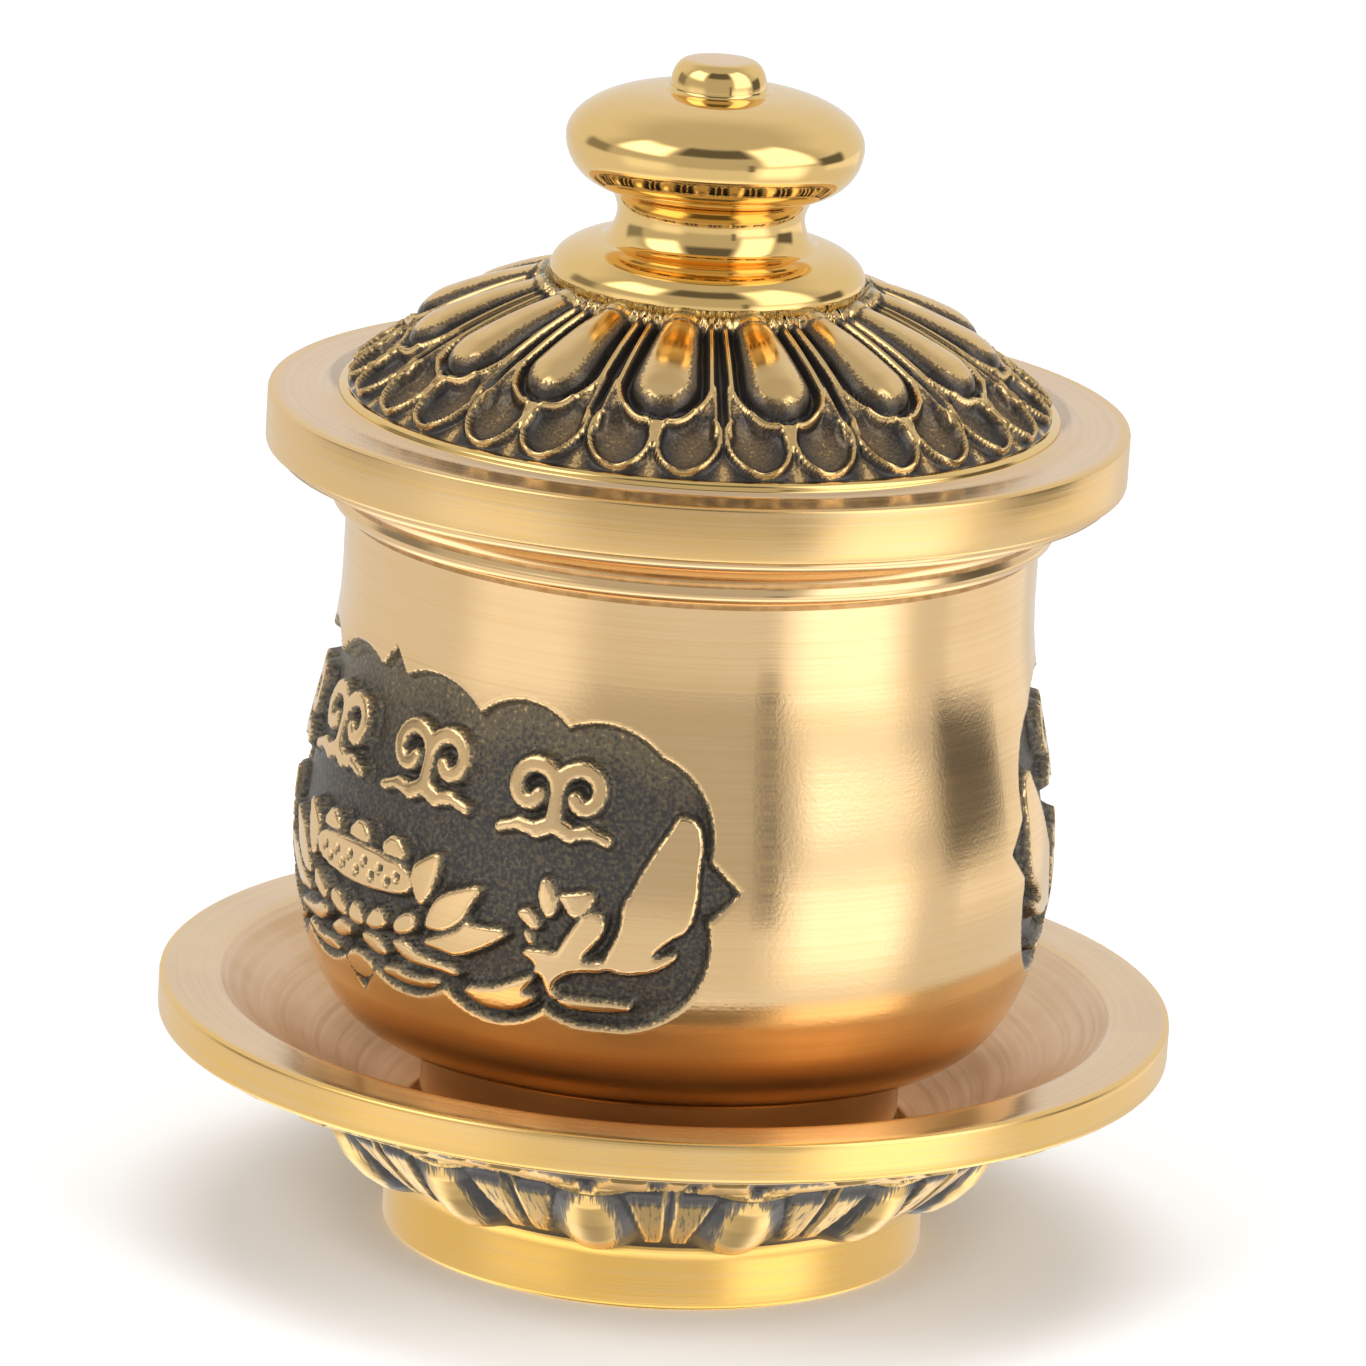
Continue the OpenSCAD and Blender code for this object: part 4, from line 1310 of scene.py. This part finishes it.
        # brightness of the forms, highest on the petals' backs
        petal_gold = (0.5 + 1.6 * (0.68 - away)) * smooth(y, *self.petal_gold_start)
        ribs_gold = np.maximum(0.8 * smooth(rib, 0.3, 0.9), 0.6 * smooth(branch, 0.5, 0.9))
        ribs_gold = np.maximum(ribs_gold, 0.5 * web) * smooth(y, *self.rib_gold_start)
        rims_gold = np.maximum(0.66 * smooth(rim, 0.3, 0.85), 0.7 * smooth(spur, 0.3, 0.8))
        faces_gold = 0.3 * face * under + 0.12 * smooth(side, 1.0, 3.4) * under
        chips_gold = 0.7 * smooth(y, *self.chip_gold_end)
        gold = [petal_gold, ribs_gold, rims_gold, 0.55 * foot, faces_gold, chips_gold]
        sector.gild[zones] = np.clip(np.maximum.reduce(gold), 0.0, 1.0)

    def build(self) -> bpy.types.Object:
        """Builds and dresses the lid.

        Returns:
            The piece at the origin.
        """
        turns = petal_turns(self.petal_turn, self.petals, self.columns)
        sector = Sector(self.outline(), turns, closed=True)
        self.carve(sector)
        faces, bands = FACES.material(), LID_BAND.material()
        return set_round("lid_body", sector, self.petals, {
            Zone.PLAIN: faces, Zone.FACE: faces, Zone.BAND: bands, Zone.BEAD: MIRROR.material(),
            Zone.RELIEF: DOME.material(), Zone.SEAT: SEAT.material(),
        })


@dataclass
class Knob:
    """The turned and polished knob with its flange, neck, disc and button."""

    seat: float = 71.4
    flange_r: float = 11.5
    flange_edge: float = 1.3
    flange_h: float = 2.5
    neck_r: float = 7.25
    waist_r: float = 6.0
    disc_r: float = 10.85
    disc_edge: float = 11.2
    disc_top: float = 14.9
    button_r: float = 3.5
    button_flat_r: float = 2.3
    top: float = 17.1
    hole_r: float = 2.15
    hole_h: float = 8.0
    flange_inset: float = 0.6
    flange_arc: Point = (-24.0, 84.0)
    under_run: float = 0.1
    under_start: float = -80.0
    button_step: float = 0.3
    sectors: int = 8
    columns: int = 24

    def outline(self) -> Outline:
        """Draws the knob from the blind screw hole round to the button's top.

        Returns:
            The outline.
        """
        z = self.seat
        path = Outline().line(0.0, z + self.hole_h).line(self.hole_r, z + self.hole_h)
        path.line(self.hole_r, z, steps=2).line(self.flange_r - self.flange_inset, z, steps=2)
        flange = (self.flange_r - self.neck_r, self.flange_h)
        path.arc((self.neck_r, z + self.flange_edge), flange, *self.flange_arc, steps=16)
        corner = self.disc_r - self.neck_r
        under = (self.neck_r + self.under_run * corner, z + self.disc_edge - corner)
        waist = z + (self.flange_edge + self.flange_h + self.disc_edge - corner) / 2
        path.curve((self.waist_r, waist), under, steps=8)
        path.arc((self.neck_r, z + self.disc_edge), (corner, corner), self.under_start, 0.0, steps=14)
        disc_size = (self.disc_r - self.button_r, self.disc_top - self.disc_edge)
        path.arc((self.button_r, z + self.disc_edge), disc_size, 0.0, 90.0, steps=20)
        button = (self.button_r - self.button_flat_r, self.top - self.disc_top - self.button_step)
        path.arc((self.button_flat_r, z + self.disc_top + self.button_step), button, 0.0, 90.0, steps=8)
        return path.line(0.0, z + self.top, Zone.FACE, 3)

    def build(self) -> bpy.types.Object:
        """Builds and dresses the knob.

        Returns:
            The piece at the origin.
        """
        sector = Sector(self.outline(), np.linspace(0.0, 360.0 / self.sectors, self.columns + 1))
        finishes = {Zone.PLAIN: MIRROR.material(), Zone.FACE: BODY.material()}
        return set_round("knob_body", sector, self.sectors, finishes)


@dataclass(frozen=True)
class Viewpoint:
    """The photograph's camera, as its rings and outline give it."""

    focal_px: float = 8875.0
    frame_px: float = 1366.0
    sensor: float = 36.0
    elevation: float = 14.88
    roll: float = 3.43
    distance: float = 651.9
    pivot: float = 45.0
    aim: float = 41.8
    clip_end: float = 20.0

    def build(self) -> None:
        """Sets the camera."""
        data = bpy.data.cameras.new("camera")
        data.sensor_width = self.sensor
        data.lens = self.sensor * self.focal_px / self.frame_px
        data.clip_end = self.clip_end
        camera = bpy.data.objects.new("camera", data)
        bpy.context.scene.collection.objects.link(camera)
        e, r = math.radians(self.elevation), math.radians(self.roll)
        place = Vector((0.0, -math.cos(e) * self.distance, self.pivot + math.sin(e) * self.distance))
        back = (place - Vector((0.0, 0.0, self.aim))).normalized()
        right = Vector((0.0, 0.0, 1.0)).cross(back).normalized()
        up = back.cross(right)
        x = math.cos(r) * right + math.sin(r) * up
        y = math.cos(r) * up - math.sin(r) * right
        turn = Matrix((x, y, back)).transposed().to_4x4()
        camera.matrix_world = Matrix.Translation(place * MM) @ turn
        bpy.context.scene.camera = camera


@dataclass(frozen=True)
class Patch:
    """A soft-edged patch of the studio's walls, in degrees of azimuth and elevation."""

    azimuth: float
    half_width: float
    elevation: float
    half_height: float
    edge: float
    light: float

    def mask(self, board: Board, azimuth: Any, elevation: Any) -> Any:
        """Masks the patch.

        Args:
            board: Board of the world.
            azimuth: Socket of the azimuth.
            elevation: Socket of the elevation.

        Returns:
            A socket with 1 inside the patch, 0 outside and an ease along its edge.
        """
        eased = []
        for value, mid, half in ((azimuth, self.azimuth, self.half_width),
                                 (elevation, self.elevation, self.half_height)):
            off = board.math("WRAP", board.math("SUBTRACT", value, mid), 180.0, -180.0)
            eased.append(board.ramp(board.math("ABSOLUTE", off), half + self.edge, half - self.edge))
        return board.math("MULTIPLY", *eased)


@dataclass(frozen=True)
class Lamp:
    """A large soft lamp: its place and size in metres and its power in watts."""

    name: str
    place: tuple[float, float, float]
    size: float
    power: float


@dataclass(frozen=True)
class Studio:
    """Plain pale floor, soft lamps and the walls that the metal reflects."""

    wall: float = 0.58
    fill: float = 0.45
    patches: tuple[Patch, ...] = (
        Patch(180.0, 80.0, 20.0, 32.0, 14.0, 0.80),
        # below the horizon the patches stand for the floor as the metal sees it, since the floor itself is
        # hidden from glossy rays
        Patch(0.0, 400.0, -50.0, 48.0, 2.0, 0.78),
        # painted lamp light on that floor, in a band all round and a small patch to the right
        Patch(0.0, 400.0, -50.0, 11.0, 8.0, 1.7),
        Patch(122.0, 26.0, -10.0, 6.0, 3.0, 1.0),
        # painted shadow of the pieces on the floor straight below them
        Patch(0.0, 400.0, -86.0, 24.0, 10.0, 0.4),
        Patch(0.0, 33.0, 14.0, 22.0, 6.0, 0.54),
        Patch(0.0, 33.0, 50.0, 14.0, 5.0, 0.13),
        Patch(-63.0, 22.0, 40.0, 16.0, 6.0, 2.2),
        Patch(62.0, 22.0, 33.0, 28.0, 6.0, 1.9),
        Patch(103.0, 14.0, 5.0, 11.0, 4.0, 0.14),
        Patch(-103.0, 14.0, 9.0, 11.0, 5.0, 0.28),
        # painted pools of lamp light on the floor just below the horizon, front right and front left
        Patch(55.0, 20.0, -14.0, 14.0, 9.0, 1.65),
        Patch(-54.0, 20.0, -12.0, 12.0, 9.0, 1.05),
        Patch(29.0, 2.5, 0.0, 12.0, 2.0, 0.20),
    )
    lamps: tuple[Lamp, ...] = (
        Lamp("lamp_left", (-0.75, -0.7, 0.75), 0.7, 9.0),
        Lamp("lamp_right", (0.8, -0.65, 0.7), 0.7, 8.0),
        Lamp("lamp_top", (0.0, 0.25, 1.1), 0.9, 7.0),
    )
    lamp_aim: float = 0.04
    floor_half: float = 6.0
    floor_grain: float = 40.0

    def walls(self) -> None:
        """Sets the world: white behind the object, walls with soft boxes in its reflections, an even fill."""
        world = bpy.data.worlds.new("studio")
        bpy.context.scene.world = world
        world.use_nodes = True
        board = Board(world.node_tree)
        shader = board.nodes["Background"]
        places = board.node("ShaderNodeTexCoord").outputs["Generated"]
        x, y, z = board.node("ShaderNodeSeparateXYZ", Vector=places).outputs
        turn = board.math("ARCTAN2", x, board.math("MULTIPLY", y, -1.0))
        azimuth = board.math("MULTIPLY", turn, math.degrees(1.0))
        elevation = board.math("MULTIPLY", board.math("ARCSINE", z), math.degrees(1.0))
        light: Any = self.wall
        for patch in self.patches:
            light = board.blend(patch.mask(board, azimuth, elevation), light, patch.light)
        rays = board.node("ShaderNodeLightPath").outputs
        seen = board.math("MAXIMUM", rays["Is Camera Ray"], rays["Is Transmission Ray"])
        rest = board.blend(rays["Is Glossy Ray"], self.fill, light)
        board.put(shader.inputs["Strength"], board.blend(seen, rest, 1.0))
        board.put(shader.inputs["Color"], (1.0, 1.0, 1.0))

    def hang(self) -> None:
        """Hangs the lamps."""
        for lamp in self.lamps:
            data = bpy.data.lights.new(lamp.name, "AREA")
            data.size = lamp.size
            data.energy = lamp.power
            made = bpy.data.objects.new(lamp.name, data)
            bpy.context.scene.collection.objects.link(made)
            made.location = lamp.place
            aim = Vector((0.0, 0.0, self.lamp_aim)) - Vector(lamp.place)
            made.rotation_euler = aim.to_track_quat("-Z", "Y").to_euler()
            made.visible_glossy = False

    def floor(self) -> None:
        """Lays the pale floor."""
        half = self.floor_half
        mesh = bpy.data.meshes.new("floor")
        corners = [(-half, -half, 0.0), (half, -half, 0.0), (half, half, 0.0), (-half, half, 0.0)]
        mesh.from_pydata(corners, [], [(0, 1, 2, 3)])
        floor = bpy.data.objects.new("floor", mesh)
        bpy.context.scene.collection.objects.link(floor)
        desk = Desk("pale_floor")
        grain = desk.noise(self.floor_grain)
        desk.dress(Base_Color=desk.mix(grain, (0.9, 0.9, 0.9), (0.92, 0.92, 0.92)), Roughness=0.9,
                   Specular_IOR_Level=0.1)
        mesh.materials.append(desk.material)
        floor.visible_glossy = False

    def build(self) -> None:
        """Builds the studio."""
        bpy.context.scene.view_settings.view_transform = "Standard"
        self.walls()
        self.hang()
        self.floor()


def main() -> None:
    """Builds the studio and the pieces, and sets each piece on its body."""
    logging.basicConfig(level=logging.INFO, format="%(name)s: %(message)s")
    Viewpoint().build()
    Studio().build()
    for piece, body, node, slot in (
        (Saucer().build(), "saucer", "saucer", "saucer_brass"),
        (Cup().build(), "cup", "cup", "cup_brass"),
        (Lid().build(), "lid", "lid", "lid_brass"),
        (Knob().build(), "lid", "knob", "knob_brass"),
    ):
        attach(piece, body)
        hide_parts(node)
        LOG.info("%s stands for %s on %s", piece.name, node, body)
    steel = STEEL.material()
    for name in ("knob_screw", "knob_washer"):
        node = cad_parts[name]
        node.data.materials.clear()
        node.data.materials.append(steel)
        LOG.info("%s keeps its solid", name)


if __name__ == "__main__":
    main()
